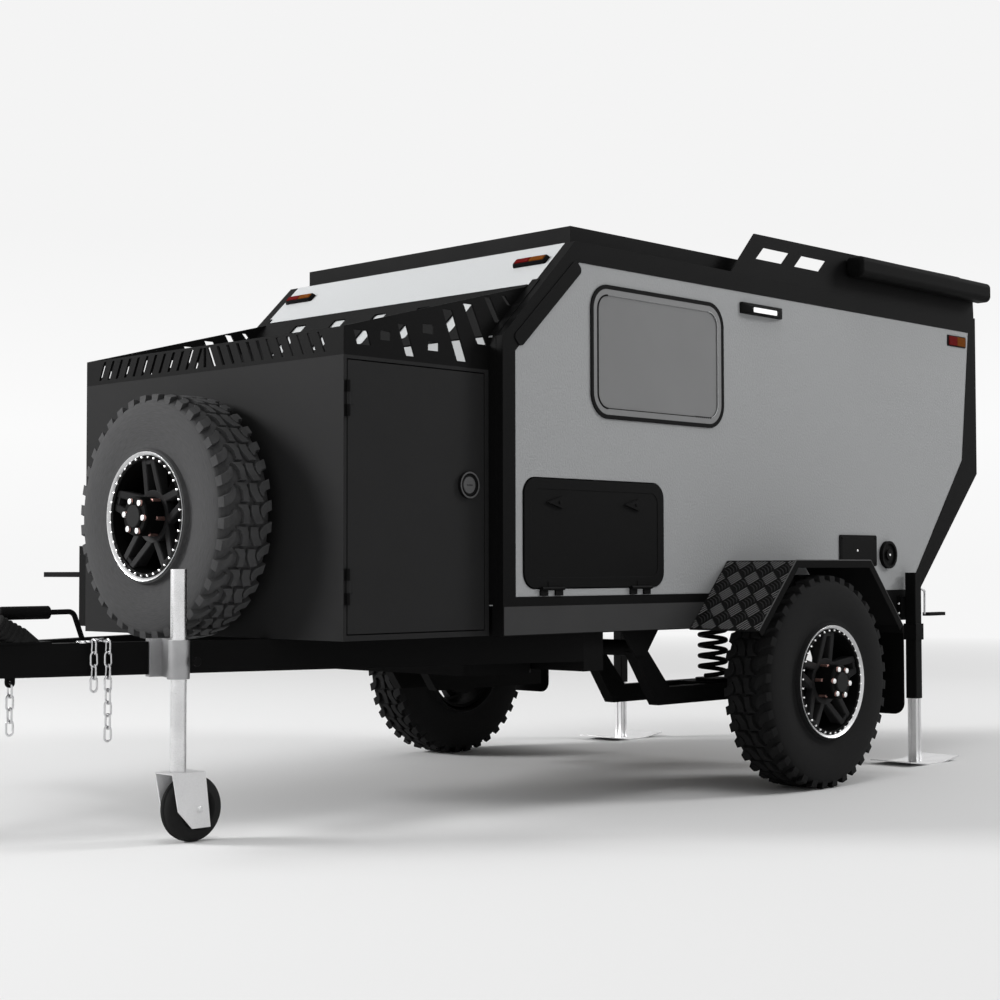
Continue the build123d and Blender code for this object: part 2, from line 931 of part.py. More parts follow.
def tyre_solid(face):
    """Hollow tyre: a flat-sided carcass, two staggered rows of tread lugs fused to it, and its bore."""
    middle = face.offset(-tyre_width / 2)
    tread_half = tyre_width / 2 - tread_inset
    shoulder_taper = degrees(atan2(tread_base_radius - sidewall_crest_radius, tread_inset))
    bead_taper = degrees(atan2(sidewall_crest_radius - bead_radius, bead_inset))
    lug_top = (tyre_radius**2 - (lug_width / 2) ** 2) ** 0.5
    with BuildPart() as tyre:
        for row, side in ((0, 1), (1, -1)):
            with BuildSketch(middle):
                RegularPolygon(tread_base_radius, lug_count)
                with PolarLocations(lug_top - lug_height / 2, lug_count, row * 180 / lug_count):
                    Rectangle(lug_height, lug_width)
            extrude(amount=side * tread_half)
            with BuildSketch(middle.offset(side * tread_half)):
                RegularPolygon(tread_base_radius, lug_count)
            extrude(amount=side * tread_inset, taper=shoulder_taper)
            with BuildSketch(middle.offset(side * tyre_width / 2)):
                RegularPolygon(sidewall_crest_radius, lug_count)
            extrude(amount=-side * bead_inset, taper=bead_taper, mode=Mode.SUBTRACT)
        with BuildSketch(middle.offset(-cavity_half)):
            RegularPolygon(cavity_radius, cavity_sides, major_radius=False)
        extrude(amount=2 * cavity_half, mode=Mode.SUBTRACT)
        with BuildSketch(face):
            RegularPolygon(rim_radius, cavity_sides, major_radius=False)
        extrude(amount=-tyre_width, mode=Mode.SUBTRACT)
    return tyre


def rim_solid(face, bored):
    """Rim: dished spokes in pairs, the barrel with its bead ring, and the hub that stands out ahead."""
    section = Plane(origin=face.origin, x_dir=face.x_dir, z_dir=face.y_dir)
    outer = rim_radius - seat_clearance
    back = tyre_width - rim_back_inset
    reach = outer - rim_wall / 2
    with BuildPart() as rim:
        with BuildSketch(face):
            with PolarLocations(0, spoke_count):
                for side in (-1, 1):
                    with BuildLine():
                        Polyline(
                            (spoke_foot[0], side * (spoke_foot[1] - spoke_width / 2)),
                            (spoke_foot[0], side * (spoke_foot[1] + spoke_width / 2)),
                            (reach, side * (spoke_tip_half + spoke_width / 2)),
                            (reach, side * (spoke_tip_half - spoke_width / 2)),
                            close=True,
                        )
                    make_face()
            Circle(spoke_foot[0] + spoke_width)
        extrude(amount=-spoke_back_depth)
        with BuildSketch(section):
            with BuildLine():
                Polyline(
                    (0, 0),
                    (reach, 0),
                    (reach, spoke_tip_depth),
                    (hub_radius, spoke_foot_depth),
                    (0, spoke_foot_depth),
                    close=True,
                )
            make_face()
        revolve(axis=Axis(face.origin, face.z_dir), mode=Mode.SUBTRACT)
        with BuildSketch(section):
            with BuildLine():
                Polyline(
                    (outer - rim_wall, -bead_ring_standout),
                    (bead_ring_radius, -bead_ring_standout),
                    (bead_ring_radius, -bead_ring_standout + bead_ring_depth / 2),
                    (outer, bead_ring_depth / 2),
                    (outer, back),
                    (outer - rim_wall, back),
                    close=True,
                )
            make_face()
            with Locations((hub_radius / 2, (hub_back - hub_standout) / 2)):
                Rectangle(hub_radius, hub_back + hub_standout)
            with Locations((hub_cap_radius / 2, -hub_standout - hub_cap_height / 2)):
                Rectangle(hub_cap_radius, hub_cap_height)
        revolve(axis=Axis(face.origin, face.z_dir))
        if bored:
            with BuildSketch(face.offset(-hub_back)):
                Circle(drum_radius)
            extrude(amount=drum_wall)
            with BuildSketch(face.offset(-hub_back)):
                Circle(drum_radius)
                Circle(drum_radius - drum_wall, mode=Mode.SUBTRACT)
            extrude(amount=-drum_depth)
            with BuildSketch(face.offset(-hub_back)):
                Circle(axle_radius + running_clearance)
            extrude(amount=hub_back + hub_standout - hub_end_wall, mode=Mode.SUBTRACT)
    return rim


for side, name in ((1, "left"), (-1, "right")):
    face = wheel_plane((axle_x, side * wheel_face_y, tyre_radius), (0, side, 0))
    write(tyre_solid(face), f"tyre_{name}")
    write(rim_solid(face, bored=True), f"rim_{name}")
spare_plane = wheel_plane((axle_x + spare_face_x, spare_y, spare_z), (1, 0, 0))
write(tyre_solid(spare_plane), "spare_tyre")
write(rim_solid(spare_plane, bored=False), "spare_rim")

# ---- spare wheel carrier on the box front ----------------------------------------------------------
with BuildPart() as spare_carrier:
    with BuildSketch(front_view(box_front)):
        with Locations((spare_y, spare_z)):
            RectangleRounded(carrier_plate, carrier_plate, carrier_plate_corner)
    extrude(amount=carrier_plate_thickness)
    with BuildSketch(front_view(box_front)):
        with Locations((spare_y, spare_z)):
            Circle(carrier_radius)
    extrude(amount=spare_face_x - hub_back - box_front)
write(spare_carrier, "spare_carrier")

# ---- wheel arches ----------------------------------------------------------------------------------
rear_foot = arch_outline[-1]
with BuildPart() as wheel_arches:
    with BuildSketch(side_view(arch_half)):
        with BuildLine():
            Polyline(*arch_outline, (rear_foot[0], rear_foot[1] - flap_tab))
            offset(amount=arch_thickness, side=Side.LEFT, closed=True)
        make_face()
    extrude(amount=arch_half - cabin_half)
    with BuildSketch(side_view(arch_half)):
        with BuildLine():
            Polyline(*arch_outline)
            offset(amount=arch_lip, side=Side.LEFT, closed=True)
        make_face()
    extrude(amount=arch_thickness)
    mirror(about=Plane.XZ)
write(wheel_arches, "wheel_arches")

# ---- mudflaps behind the wheels --------------------------------------------------------------------
with BuildPart() as mudflaps:
    with BuildSketch(front_view(rear_foot[0] - flap_thickness)):
        with Locations(((flap_inner_y + arch_half) / 2, (flap_bottom + rear_foot[1]) / 2)):
            Rectangle(arch_half - flap_inner_y, rear_foot[1] - flap_bottom)
    extrude(amount=flap_thickness)
    lower_corners = mudflaps.edges().filter_by(Axis.X).group_by(Axis.Z)[0]
    fillet(lower_corners, radius=flap_corner)
    mirror(about=Plane.XZ)
write(mudflaps, "mudflaps")

# ---- rear stabiliser legs: housings on the frame, sliding legs with their feet ---------------------
housing_inner = leg_size + 2 * seat_clearance
housing_outer = housing_inner + 2 * leg_housing_wall
with BuildPart() as leg_housings:
    with BuildSketch(plan_view(leg_housing_bottom)):
        with Locations((leg_x, leg_y)):
            RectangleRounded(housing_outer, housing_outer, leg_housing_wall)
            Rectangle(housing_inner, housing_inner, mode=Mode.SUBTRACT)
    extrude(amount=leg_housing_top - leg_housing_bottom)
    block(
        (leg_x - leg_bracket_length / 2, leg_x + leg_bracket_length / 2),
        (cabin_half, leg_y - housing_outer / 2),
        (leg_bracket_bottom, cabin_bottom),
    )
    clamp_half = housing_outer / 2 + leg_clamp_standout
    with BuildSketch(plan_view(leg_clamp_bottom)):
        with Locations((leg_x, leg_y)):
            Rectangle(2 * clamp_half, 2 * clamp_half)
            Rectangle(housing_inner, housing_inner, mode=Mode.SUBTRACT)
    extrude(amount=leg_clamp_top - leg_clamp_bottom)
    with BuildLine() as handle_path:
        handle_corners = [(axle_x + x, leg_y, z) for x, z in leg_handle_route]
        FilletPolyline(*handle_corners, radius=leg_handle_bend)
    with BuildSketch(Plane(origin=handle_path.line @ 0, z_dir=handle_path.line % 0)):
        Circle(leg_handle_wire)
    sweep()
    with BuildSketch(plan_view(leg_handle_pad[1] - leg_handle_pad_thickness / 2)):
        with Locations((leg_handle_pad[0], leg_y)):
            SlotOverall(leg_handle_pad_length, leg_handle_pad_width)
    extrude(amount=leg_handle_pad_thickness)
    mirror(about=Plane.XZ)
write(leg_housings, "leg_housings")

for side, name in ((1, "left"), (-1, "right")):
    with BuildPart() as leg:
        with BuildSketch(plan_view(foot_thickness)):
            with Locations((leg_x, side * leg_y)):
                RectangleRounded(leg_size, leg_size, leg_wall)
                Rectangle(leg_size - 2 * leg_wall, leg_size - 2 * leg_wall, mode=Mode.SUBTRACT)
        extrude(amount=leg_top - foot_thickness)
        with BuildSketch(side_view(side * leg_y + foot_width / 2)):
            with BuildLine():
                Polyline(
                    (leg_x - foot_length / 2, foot_rise),
                    (leg_x - foot_flat / 2, 0),
                    (leg_x + foot_flat / 2, 0),
                    (leg_x + foot_length / 2, foot_rise),
                    (leg_x + foot_length / 2, foot_rise + foot_thickness),
                    (leg_x + foot_flat / 2, foot_thickness),
                    (leg_x - foot_flat / 2, foot_thickness),
                    (leg_x - foot_length / 2, foot_rise + foot_thickness),
                    close=True,
                )
            make_face()
        extrude(amount=foot_width)
    write(leg, f"leg_{name}")

# ---- jockey wheel: clamp on the drawbar, tube, fork and wheel --------------------------------------
rail_normal = (sin(radians(draw_angle)), cos(radians(draw_angle)))
rail_point = (jockey_x, draw_rail_outer(jockey_x))
jockey_offset = (jockey_y - rail_point[1]) * rail_normal[1]
rail_face = Plane(
    origin=(axle_x + jockey_x, jockey_y, clamp_bottom),
    x_dir=(rail_normal[1], -rail_normal[0], 0),
    z_dir=(0, 0, 1),
)
sleeve_inner = jockey_tube_radius + seat_clearance
sleeve_outer = sleeve_inner + clamp_wall
with BuildPart() as jockey_clamp:
    with BuildSketch(rail_face):
        Circle(sleeve_outer)
        with Locations((0, -jockey_offset / 2)):
            Rectangle(2 * clamp_wall, jockey_offset)
        with Locations((0, -jockey_offset + clamp_plate_thickness / 2)):
            Rectangle(clamp_plate, clamp_plate_thickness)
        Circle(sleeve_inner, mode=Mode.SUBTRACT)
    extrude(amount=clamp_top - clamp_bottom)
    for low, high in ((clamp_bottom, draw_rail_bottom), (draw_rail_top, clamp_top)):
        with BuildSketch(rail_face.offset(low - clamp_bottom)):
            with Locations((0, -jockey_offset - clamp_hook_reach / 2)):
                Rectangle(clamp_plate, clamp_hook_reach)
        extrude(amount=high - low)
write(jockey_clamp, "jockey_clamp")

with BuildPart() as jockey_tube:
    with BuildSketch(plan_view(fork_top + seat_clearance)):
        with Locations((jockey_x, jockey_y)):
            Circle(jockey_tube_radius)
            Circle(jockey_tube_radius - jockey_tube_wall, mode=Mode.SUBTRACT)
    extrude(amount=jockey_tube_top - fork_top - seat_clearance)
write(jockey_tube, "jockey_tube")

fork_half = jockey_wheel_width / 2 + fork_gap
wheel_x = jockey_x - jockey_trail
with BuildPart() as jockey_fork:
    fork_front = jockey_x + fork_front_reach
    fork_rear = jockey_x - fork_rear_reach
    block(
        (fork_rear, fork_front),
        (jockey_y - fork_half - fork_sheet, jockey_y + fork_half + fork_sheet),
        (fork_top - fork_sheet, fork_top),
    )
    for y in (jockey_y + fork_half + fork_sheet, jockey_y - fork_half):
        with BuildSketch(side_view(y)):
            with BuildLine():
                Polyline(
                    (fork_rear, fork_top),
                    (fork_front, fork_top),
                    (jockey_x + fork_knee[0], fork_knee[1]),
                    (jockey_x - fork_tip_front, fork_tip_z),
                    (jockey_x - fork_tip_rear, fork_tip_z),
                    close=True,
                )
            make_face()
        extrude(amount=fork_sheet)
    with BuildSketch(side_view(jockey_y + fork_half + fork_sheet)):
        with Locations((wheel_x, jockey_wheel_radius)):
            Circle(jockey_pin_radius)
    extrude(amount=2 * (fork_half + fork_sheet))
write(jockey_fork, "jockey_fork")

with BuildPart() as jockey_wheel:
    with BuildSketch(side_view(jockey_y + jockey_wheel_width / 2)):
        with Locations((wheel_x, jockey_wheel_radius)):
            Circle(jockey_wheel_radius)
            Circle(jockey_pin_radius + running_clearance, mode=Mode.SUBTRACT)
    extrude(amount=jockey_wheel_width)
    rim_edges = jockey_wheel.edges().filter_by(GeomType.CIRCLE).sort_by(SortBy.RADIUS)[-2:]
    chamfer(rim_edges, length=jockey_tread_round)
write(jockey_wheel, "jockey_wheel")

# ---- coupling head on the drawbar's nose -----------------------------------------------------------
with BuildPart() as coupler_head:
    with BuildSketch(front_view(nose_front)):
        with Locations((0, coupling_z)):
            RectangleRounded(2 * flange_half, draw_rail_depth, flange_corner)
    extrude(amount=flange_thickness)
    with BuildSketch(front_view(nose_front)):
        with Locations((0, coupling_z)):
            Circle(draw_shaft_radius)
    extrude(amount=head_rear + shaft_in_head - nose_front)
    with BuildSketch(plan_view(head_bottom)):
        with BuildLine():
            Polyline(
                (ball_x, -head_half),
                (head_rear, -head_rear_half),
                (head_rear, head_rear_half),
                (ball_x, head_half),
            )
            ThreePointArc((ball_x, head_half), (coupling_reach, 0), (ball_x, -head_half))
        make_face()
    extrude(amount=head_top - head_bottom)
    with BuildSketch(plan_view(head_bottom)):
        with Locations((ball_x, 0)):
            Circle(ball_radius + ball_clearance)
    extrude(amount=ball_socket_depth, mode=Mode.SUBTRACT)
write(coupler_head, "coupler_head")

# ---- handbrake lever on its cross tube, and the ribbed gaiter beside it -----------------------------
with BuildPart() as handbrake_lever:
    with BuildSketch(side_view(lever_boss_half)):
        with Locations(lever_route[0]):
            Circle(lever_boss)
    extrude(amount=2 * lever_boss_half)
    with BuildLine() as lever_path:
        FilletPolyline(*[(axle_x + x, 0, z) for x, z in lever_route], radius=lever_bend)
    with BuildSketch(Plane(origin=lever_path.line @ 0, z_dir=lever_path.line % 0)):
        Circle(lever_radius)
    sweep()
    grip_rear = lever_route[-1][0] - 2 * lever_radius
    with BuildSketch(front_view(grip_rear)):
        with Locations((0, lever_route[-1][1])):
            Circle(grip_radius)
    extrude(amount=grip_front - grip_rear)
    fillet(handbrake_lever.edges().filter_by(GeomType.CIRCLE).sort_by(Axis.X)[-1], radius=grip_round)
write(handbrake_lever, "handbrake_lever")

with BuildPart() as brake_gaiter:
    gaiter_foot = (axle_x + gaiter_x, gaiter_y, draw_rail_top + nose_plate_thickness)
    gaiter_axis = (cos(radians(gaiter_tilt)), 0, sin(radians(gaiter_tilt)))
    rib_pitch = gaiter_length / gaiter_ribs
    rib_taper = (gaiter_radius - gaiter_tip_radius) / gaiter_ribs
    with BuildSketch(Plane(origin=gaiter_foot, x_dir=gaiter_axis, z_dir=(0, -1, 0))):
        with BuildLine():
            ribs = [(-gaiter_radius, 0), (-gaiter_radius, gaiter_radius)]
            for rib in range(gaiter_ribs):
                crest = gaiter_radius - rib * rib_taper
                ribs += [((rib + gaiter_crest_share) * rib_pitch, crest)]
                ribs += [((rib + gaiter_groove_share) * rib_pitch, crest - gaiter_groove)]
            Polyline(*ribs, (gaiter_length, 0), close=True)
        make_face()
    revolve(axis=Axis(gaiter_foot, gaiter_axis))
    split(bisect_by=Plane.XY.offset(gaiter_foot[2]), keep=Keep.TOP)
write(brake_gaiter, "brake_gaiter")

# ---- safety chains: one draped over the left rail, two hanging from eyes under the nose --------------
link_pitch = link_length - 2 * link_wire - link_play
link_bar_reach = (link_length - link_wire) / 2


def add_link(centre, along, across):
    """Adds one chain link: its length lies along one direction, its width across another."""
    link_plane = Plane(origin=centre, x_dir=along, z_dir=Vector(along).cross(Vector(across)))
    with BuildSketch(link_plane.offset(-link_wire / 2)) as link:
        Rectangle(link_length, link_width)
        chamfer(link.vertices(), length=link_corner)
        Rectangle(link_length - 2 * link_wire, link_width - 2 * link_wire, mode=Mode.SUBTRACT)
    extrude(link.sketch, amount=link_wire)


def hang_links(x, y, top_z, count):
    """Adds links that hang below one another, from the height of the first one's upper bar."""
    for number in range(count):
        across = (1, 0, 0) if number % 2 else (0, 1, 0)
        centre_z = top_z - link_bar_reach - number * link_pitch
        add_link((axle_x + x, y, centre_z), (0, 0, 1), across)


with BuildPart() as safety_chains:
    rail_chain_y = draw_rail_outer(rail_chain_x) + (link_width + link_wire) / 2
    rail_link = (axle_x + rail_chain_x, rail_chain_y - link_pitch / 2, draw_rail_top + link_wire / 2)
    add_link(rail_link, (0, 1, 0), (1, 0, 0))
    first_bar_z = draw_rail_top + 1.5 * link_wire + link_play
    hang_links(rail_chain_x, rail_chain_y, first_bar_z, rail_chain_links - 1)
    for y in (-nose_chain_y, nose_chain_y):
        hang_links(nose_chain_x, y, chain_eye_z, nose_chain_links)
write(safety_chains, "safety_chains")

# ---- awning on the left roof edge ------------------------------------------------------------------
with BuildPart() as awning_bracket:
    with BuildSketch(side_view(cabin_half)):
        with BuildLine():
            Polyline(*[(x, cabin_top + rise) for x, rise in awning_plate_outline], close=True)
        make_face()
        for number in range(2):
            left = awning_window_base[0] - number * awning_window_pitch
            low = cabin_top + awning_window_base[1]
            length, height = awning_window_size
            with BuildLine():
                Polyline(
                    (left, low),
                    (left - awning_window_lean, low + height),
                    (left - awning_window_lean - length, low + height),
                    (left - length, low),
                    close=True,
                )
            make_face(mode=Mode.SUBTRACT)
    extrude(amount=awning_plate_thickness)
write(awning_bracket, "awning_bracket")

with BuildPart() as awning_case:
    with BuildSketch(front_view(awning_case_rear)):
        with Locations((cabin_half + awning_case_half, awning_case_z)):
            RectangleRounded(2 * awning_case_half, 2 * awning_case_half, awning_case_corner)
    extrude(amount=awning_case_front - awning_case_rear)
    fillet(awning_case.faces().sort_by(Axis.X)[-1].edges(), radius=awning_case_end_round)
write(awning_case, "awning_case")

# ---- lamps -----------------------------------------------------------------------------------------
with BuildPart() as lamps:
    for low, high, bottom, top, standout in (
        (marker_rear, marker_front, marker_bottom, marker_top, marker_standout),
        (flood_lamp_rear, flood_lamp_front, flood_lamp_bottom, flood_lamp_top, flood_lamp_standout),
    ):
        block((low, high), (panel_face, panel_face + standout), (bottom, top))
    tail_lamp_y = cabin_half - wall_thickness / 2
    block(
        (cabin_rear - tail_lamp_standout, cabin_rear),
        (tail_lamp_y - tail_lamp_width / 2, tail_lamp_y + tail_lamp_width / 2),
        (tail_lamp_bottom, tail_lamp_top),
    )
    lamp_along = (front_marker_z - front_kink_z) / slope_rise
    lamp_x = cabin_front - lamp_along * slope_run
    lamp_plane = Plane(
        origin=(axle_x + lamp_x, front_marker_y, front_marker_z),
        x_dir=(0, 1, 0),
        z_dir=(slope_rise / slope_length, 0, slope_run / slope_length),
    )
    with BuildSketch(lamp_plane):
        Rectangle(front_marker_width, front_marker_height)
    extrude(amount=marker_standout)
    mirror(about=Plane.XZ)
write(lamps, "lamps")

# ---- service plate and round socket on the left side -----------------------------------------------
with BuildPart() as service_fittings:
    with BuildSketch(side_view(panel_face + service_plate_thickness)):
        side_rectangle(
            (service_plate_rear, service_plate_front),
            (service_plate_bottom, service_plate_top),
            service_plate_corner,
        )
    extrude(amount=service_plate_thickness)
    with BuildSketch(side_view(panel_face + socket_standout)):
        with Locations((socket_x, socket_z)):
            Circle(socket_radius)
    extrude(amount=socket_standout)
    with BuildSketch(side_view(panel_face + socket_standout)):
        with Locations((socket_x, socket_z)):
            Circle(socket_radius - socket_rim)
            Circle(socket_boss, mode=Mode.SUBTRACT)
    extrude(amount=socket_dish, mode=Mode.SUBTRACT)
write(service_fittings, "service_fittings")


# ---- doors and hinges ------------------------------------------------------------------------------
# Each hinge has two fixed knuckles with the pin, and the door's own knuckle between them.
def hinge_frame(point, along, outward):
    """Hinge plane: origin on the pin at the hinge's middle, local z along the pin, local x outward."""
    return Plane(origin=(axle_x + point[0], point[1], point[2]), x_dir=outward, z_dir=along)


def door_knuckle(frame, leaf_side):
    """Adds the door's bored knuckle and its leaf, which lies on the door face."""
    with BuildSketch(frame.offset(-knuckle_length / 2)) as knuckle:
        Circle(hinge_radius)
        with Locations((-hinge_radius + hinge_leaf / 2, leaf_side * hinge_leaf_reach / 2)):
            Rectangle(hinge_leaf, hinge_leaf_reach)
        Circle(hinge_pin + running_clearance, mode=Mode.SUBTRACT)
    extrude(knuckle.sketch, amount=knuckle_length)


def fixed_knuckles(frame, leaf_side, leaf_reach, packing=0):
    """Adds the two fixed knuckles with their leaves, packed out from the wall, and the pin through all."""
    depth = hinge_leaf + packing
    for start in (-1.5 * knuckle_length - knuckle_gap, 0.5 * knuckle_length + knuckle_gap):
        with BuildSketch(frame.offset(start)) as knuckle:
            Circle(hinge_radius)
            with Locations((-hinge_radius + hinge_leaf - depth / 2, leaf_side * leaf_reach / 2)):
                Rectangle(depth, leaf_reach)
        extrude(knuckle.sketch, amount=knuckle_length)
    with BuildSketch(frame.offset(-1.5 * knuckle_length - knuckle_gap)) as pin:
        Circle(hinge_pin)
    extrude(pin.sketch, amount=3 * knuckle_length + 2 * knuckle_gap)


def round_latch(face):
    """Adds a round flush latch on a door's outer face: a raised ring with a dished centre."""
    with BuildSketch(face) as ring:
        Circle(round_latch_radius)
    extrude(ring.sketch, amount=round_latch_standout)
    with BuildSketch(face.offset(round_latch_standout)) as dish:
        Circle(round_latch_radius - round_latch_band)
        Circle(round_latch_band, mode=Mode.SUBTRACT)
    extrude(dish.sketch, amount=-round_latch_dish, mode=Mode.SUBTRACT)


bag_pin_y = panel_face + bag_door_standout + hinge_radius
box_pin_y = box_half + hinge_radius
entry_pin_y = -panel_face - hinge_radius
bag_pin_z = bag_door_bottom - door_gap / 2
box_pin_x = box_door_front + door_gap / 2
entry_pin_x = entry_door_front + door_gap / 2
hatch_pin_x = cabin_rear - hinge_radius
hatch_pin_z = hatch_top + door_gap / 2
bag_hinges = [
    hinge_frame((x, bag_pin_y, bag_pin_z), (1, 0, 0), (0, 1, 0)) for x in bag_hinge_stations
]
box_hinges = [
    hinge_frame((box_pin_x, box_pin_y, z), (0, 0, 1), (0, 1, 0)) for z in box_hinge_heights
]
entry_hinges = [
    hinge_frame((entry_pin_x, entry_pin_y, z), (0, 0, 1), (0, -1, 0)) for z in entry_hinge_heights
]
hatch_hinges = [
    hinge_frame((hatch_pin_x, y, hatch_pin_z), (0, 1, 0), (-1, 0, 0)) for y in hatch_hinge_spread
]

with BuildPart() as door_hinges:
    for frame in bag_hinges:
        fixed_knuckles(frame, -1, hinge_leaf_reach, packing=bag_door_standout)
    for frame in box_hinges:
        fixed_knuckles(frame, -1, box_front - box_pin_x)
    for frame in entry_hinges:
        fixed_knuckles(frame, 1, hinge_leaf_reach)
    for frame in hatch_hinges:
        fixed_knuckles(frame, 1, cabin_top - hatch_pin_z)
write(door_hinges, "door_hinges")

with BuildPart() as baggage_door:
    with BuildSketch(side_view(panel_face + bag_door_standout)):
        side_rectangle((bag_door_rear, bag_door_front), (bag_door_bottom, bag_door_top), bag_door_corner)
    extrude(amount=panel_thickness)
    with BuildSketch(side_view(panel_face + bag_door_standout)):
        side_rectangle(
            (bag_door_rear + bag_door_border, bag_door_front - bag_door_border),
            (bag_door_bottom + bag_door_border, bag_door_top - bag_door_border),
            bag_door_corner - bag_door_border / 2,
        )
    extrude(amount=bag_door_recess, mode=Mode.SUBTRACT)
    with BuildSketch(side_view(panel_face + bag_door_standout + bag_latch_standout)):
        for station in bag_latch_stations:
            tip = (station + bag_latch_length / 2, bag_latch_z)
            heel = (station - bag_latch_length / 2, bag_latch_z)
            upper = (station - bag_latch_length / 5, bag_latch_z + bag_latch_height / 2)
            lower = (station - bag_latch_length / 5, bag_latch_z - bag_latch_height / 2)
            with BuildLine():
                Line(tip, upper)
                ThreePointArc(upper, heel, lower)
                Line(lower, tip)
            make_face()
    extrude(amount=bag_latch_standout + bag_door_recess)
    for frame in bag_hinges:
        door_knuckle(frame, 1)
write(baggage_door, "baggage_door")

with BuildPart() as box_door:
    with BuildSketch(side_view(box_half)):
        side_rectangle((box_door_rear, box_door_front), (box_door_bottom, box_door_top), box_door_corner)
    extrude(amount=box_wall)
    round_latch(Plane(origin=(axle_x + box_latch[0], box_half, box_latch[1]), z_dir=(0, 1, 0)))
    for frame in box_hinges:
        door_knuckle(frame, 1)
write(box_door, "box_door")

with BuildPart() as entry_door:
    with BuildSketch(side_view(-panel_face + panel_thickness)):
        side_rectangle(
            (entry_door_rear, entry_door_front),
            (entry_door_bottom, entry_door_top),
            entry_door_corner,
        )
    extrude(amount=panel_thickness)
    round_latch(Plane(origin=(axle_x + entry_latch[0], -panel_face, entry_latch[1]), z_dir=(0, -1, 0)))
    for frame in entry_hinges:
        door_knuckle(frame, -1)
write(entry_door, "entry_door")

with BuildPart() as rear_hatch:
    block(
        (cabin_rear, cabin_rear + hatch_thickness),
        (-hatch_half, hatch_half),
        (hatch_bottom, hatch_top),
    )
    for y in (-hatch_latch_y, hatch_latch_y):
        round_latch(Plane(origin=(axle_x + cabin_rear, y, hatch_latch_z), z_dir=(-1, 0, 0)))
    for frame in hatch_hinges:
        door_knuckle(frame, -1)
write(rear_hatch, "rear_hatch")
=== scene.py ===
import math

import bmesh
import bpy
from mathutils import Matrix, Vector


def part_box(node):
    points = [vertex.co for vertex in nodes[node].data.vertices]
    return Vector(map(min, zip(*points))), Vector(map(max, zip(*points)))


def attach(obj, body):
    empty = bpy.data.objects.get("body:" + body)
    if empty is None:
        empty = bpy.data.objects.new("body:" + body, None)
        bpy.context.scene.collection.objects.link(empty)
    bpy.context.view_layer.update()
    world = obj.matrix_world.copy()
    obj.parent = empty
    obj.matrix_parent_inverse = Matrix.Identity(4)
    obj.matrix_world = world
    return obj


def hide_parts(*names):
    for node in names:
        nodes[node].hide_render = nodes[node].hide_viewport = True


# Off-road teardrop trailer. Metres, +X forward, +Y left, +Z up, in the CAD model's own frame.
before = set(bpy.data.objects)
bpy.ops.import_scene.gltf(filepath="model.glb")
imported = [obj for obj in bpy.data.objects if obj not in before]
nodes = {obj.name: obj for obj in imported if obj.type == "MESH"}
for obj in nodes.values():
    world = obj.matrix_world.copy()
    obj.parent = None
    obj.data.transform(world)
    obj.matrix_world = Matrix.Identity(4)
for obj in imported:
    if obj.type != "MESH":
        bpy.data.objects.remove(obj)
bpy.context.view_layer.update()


# ---- materials ----
class Graph:
    """A material's node tree, with short calls to add and join nodes."""

    def __init__(self, name):
        self.material = bpy.data.materials.new(name)
        self.material.use_nodes = True
        self.tree = self.material.node_tree
        self.tree.nodes.clear()
        self.output = self.add("ShaderNodeOutputMaterial")

    def add(self, kind, inputs=None, **settings):
        """Adds a node with values for its sockets and its settings."""
        node = self.tree.nodes.new(kind)
        for key, value in (inputs or {}).items():
            node.inputs[key].default_value = value
        for key, value in settings.items():
            setattr(node, key, value)
        return node

    def link(self, source, target):
        self.tree.links.new(source, target)

    def place(self, scale=1.0, stretch=(1, 1, 1)):
        """Coordinates in the row frame, in metres, times scale and stretch."""
        coordinates = self.add("ShaderNodeTexCoord")
        mapping = self.add("ShaderNodeMapping", {"Scale": [scale * s for s in stretch]})
        self.link(coordinates.outputs["Object"], mapping.inputs["Vector"])
        return mapping.outputs["Vector"]

    def noise(self, scale, detail=3.0, roughness=0.5, stretch=(1, 1, 1)):
        texture = self.add("ShaderNodeTexNoise", {"Scale": 1.0, "Detail": detail, "Roughness": roughness})
        self.link(self.place(scale, stretch), texture.inputs["Vector"])
        return texture.outputs["Fac"]

    def spread(self, value, low, high, start=0.3, end=0.7):
        """Maps start..end of a value to low..high, held at both ends."""
        node = self.add("ShaderNodeMapRange", {"From Min": start, "From Max": end, "To Min": low, "To Max": high})
        self.link(value, node.inputs["Value"])
        return node.outputs["Result"]

    def mix(self, factor, a, b):
        """Mixes two colours by a factor."""
        node = self.add("ShaderNodeMix", data_type="RGBA")
        self.link(factor, node.inputs["Factor"])
        for value, socket in ((a, node.inputs[6]), (b, node.inputs[7])):
            if isinstance(value, bpy.types.NodeSocket):
                self.link(value, socket)
            else:
                socket.default_value = (*value, 1)
        return node.outputs[2]

    def bump(self, height, distance, strength=1.0, under=None):
        node = self.add("ShaderNodeBump", {"Distance": distance, "Strength": strength})
        self.link(height, node.inputs["Height"])
        if under is not None:
            self.link(under, node.inputs["Normal"])
        return node.outputs["Normal"]

    def rounded(self, radius):
        """Normals as if every hard edge had this radius."""
        return self.add("ShaderNodeBevel", {"Radius": radius}, samples=6).outputs["Normal"]

    def shader(self, roughness, metallic=0.0, specular=0.5):
        values = {"Roughness": roughness, "Metallic": metallic, "Specular IOR Level": specular}
        node = self.add("ShaderNodeBsdfPrincipled", values)
        self.link(node.outputs["BSDF"], self.output.inputs["Surface"])
        return node


# Metres: the softened edge of coated pieces.
COAT_EDGE = 0.0012


def scaled(color, factor):
    return tuple(c * factor for c in color)


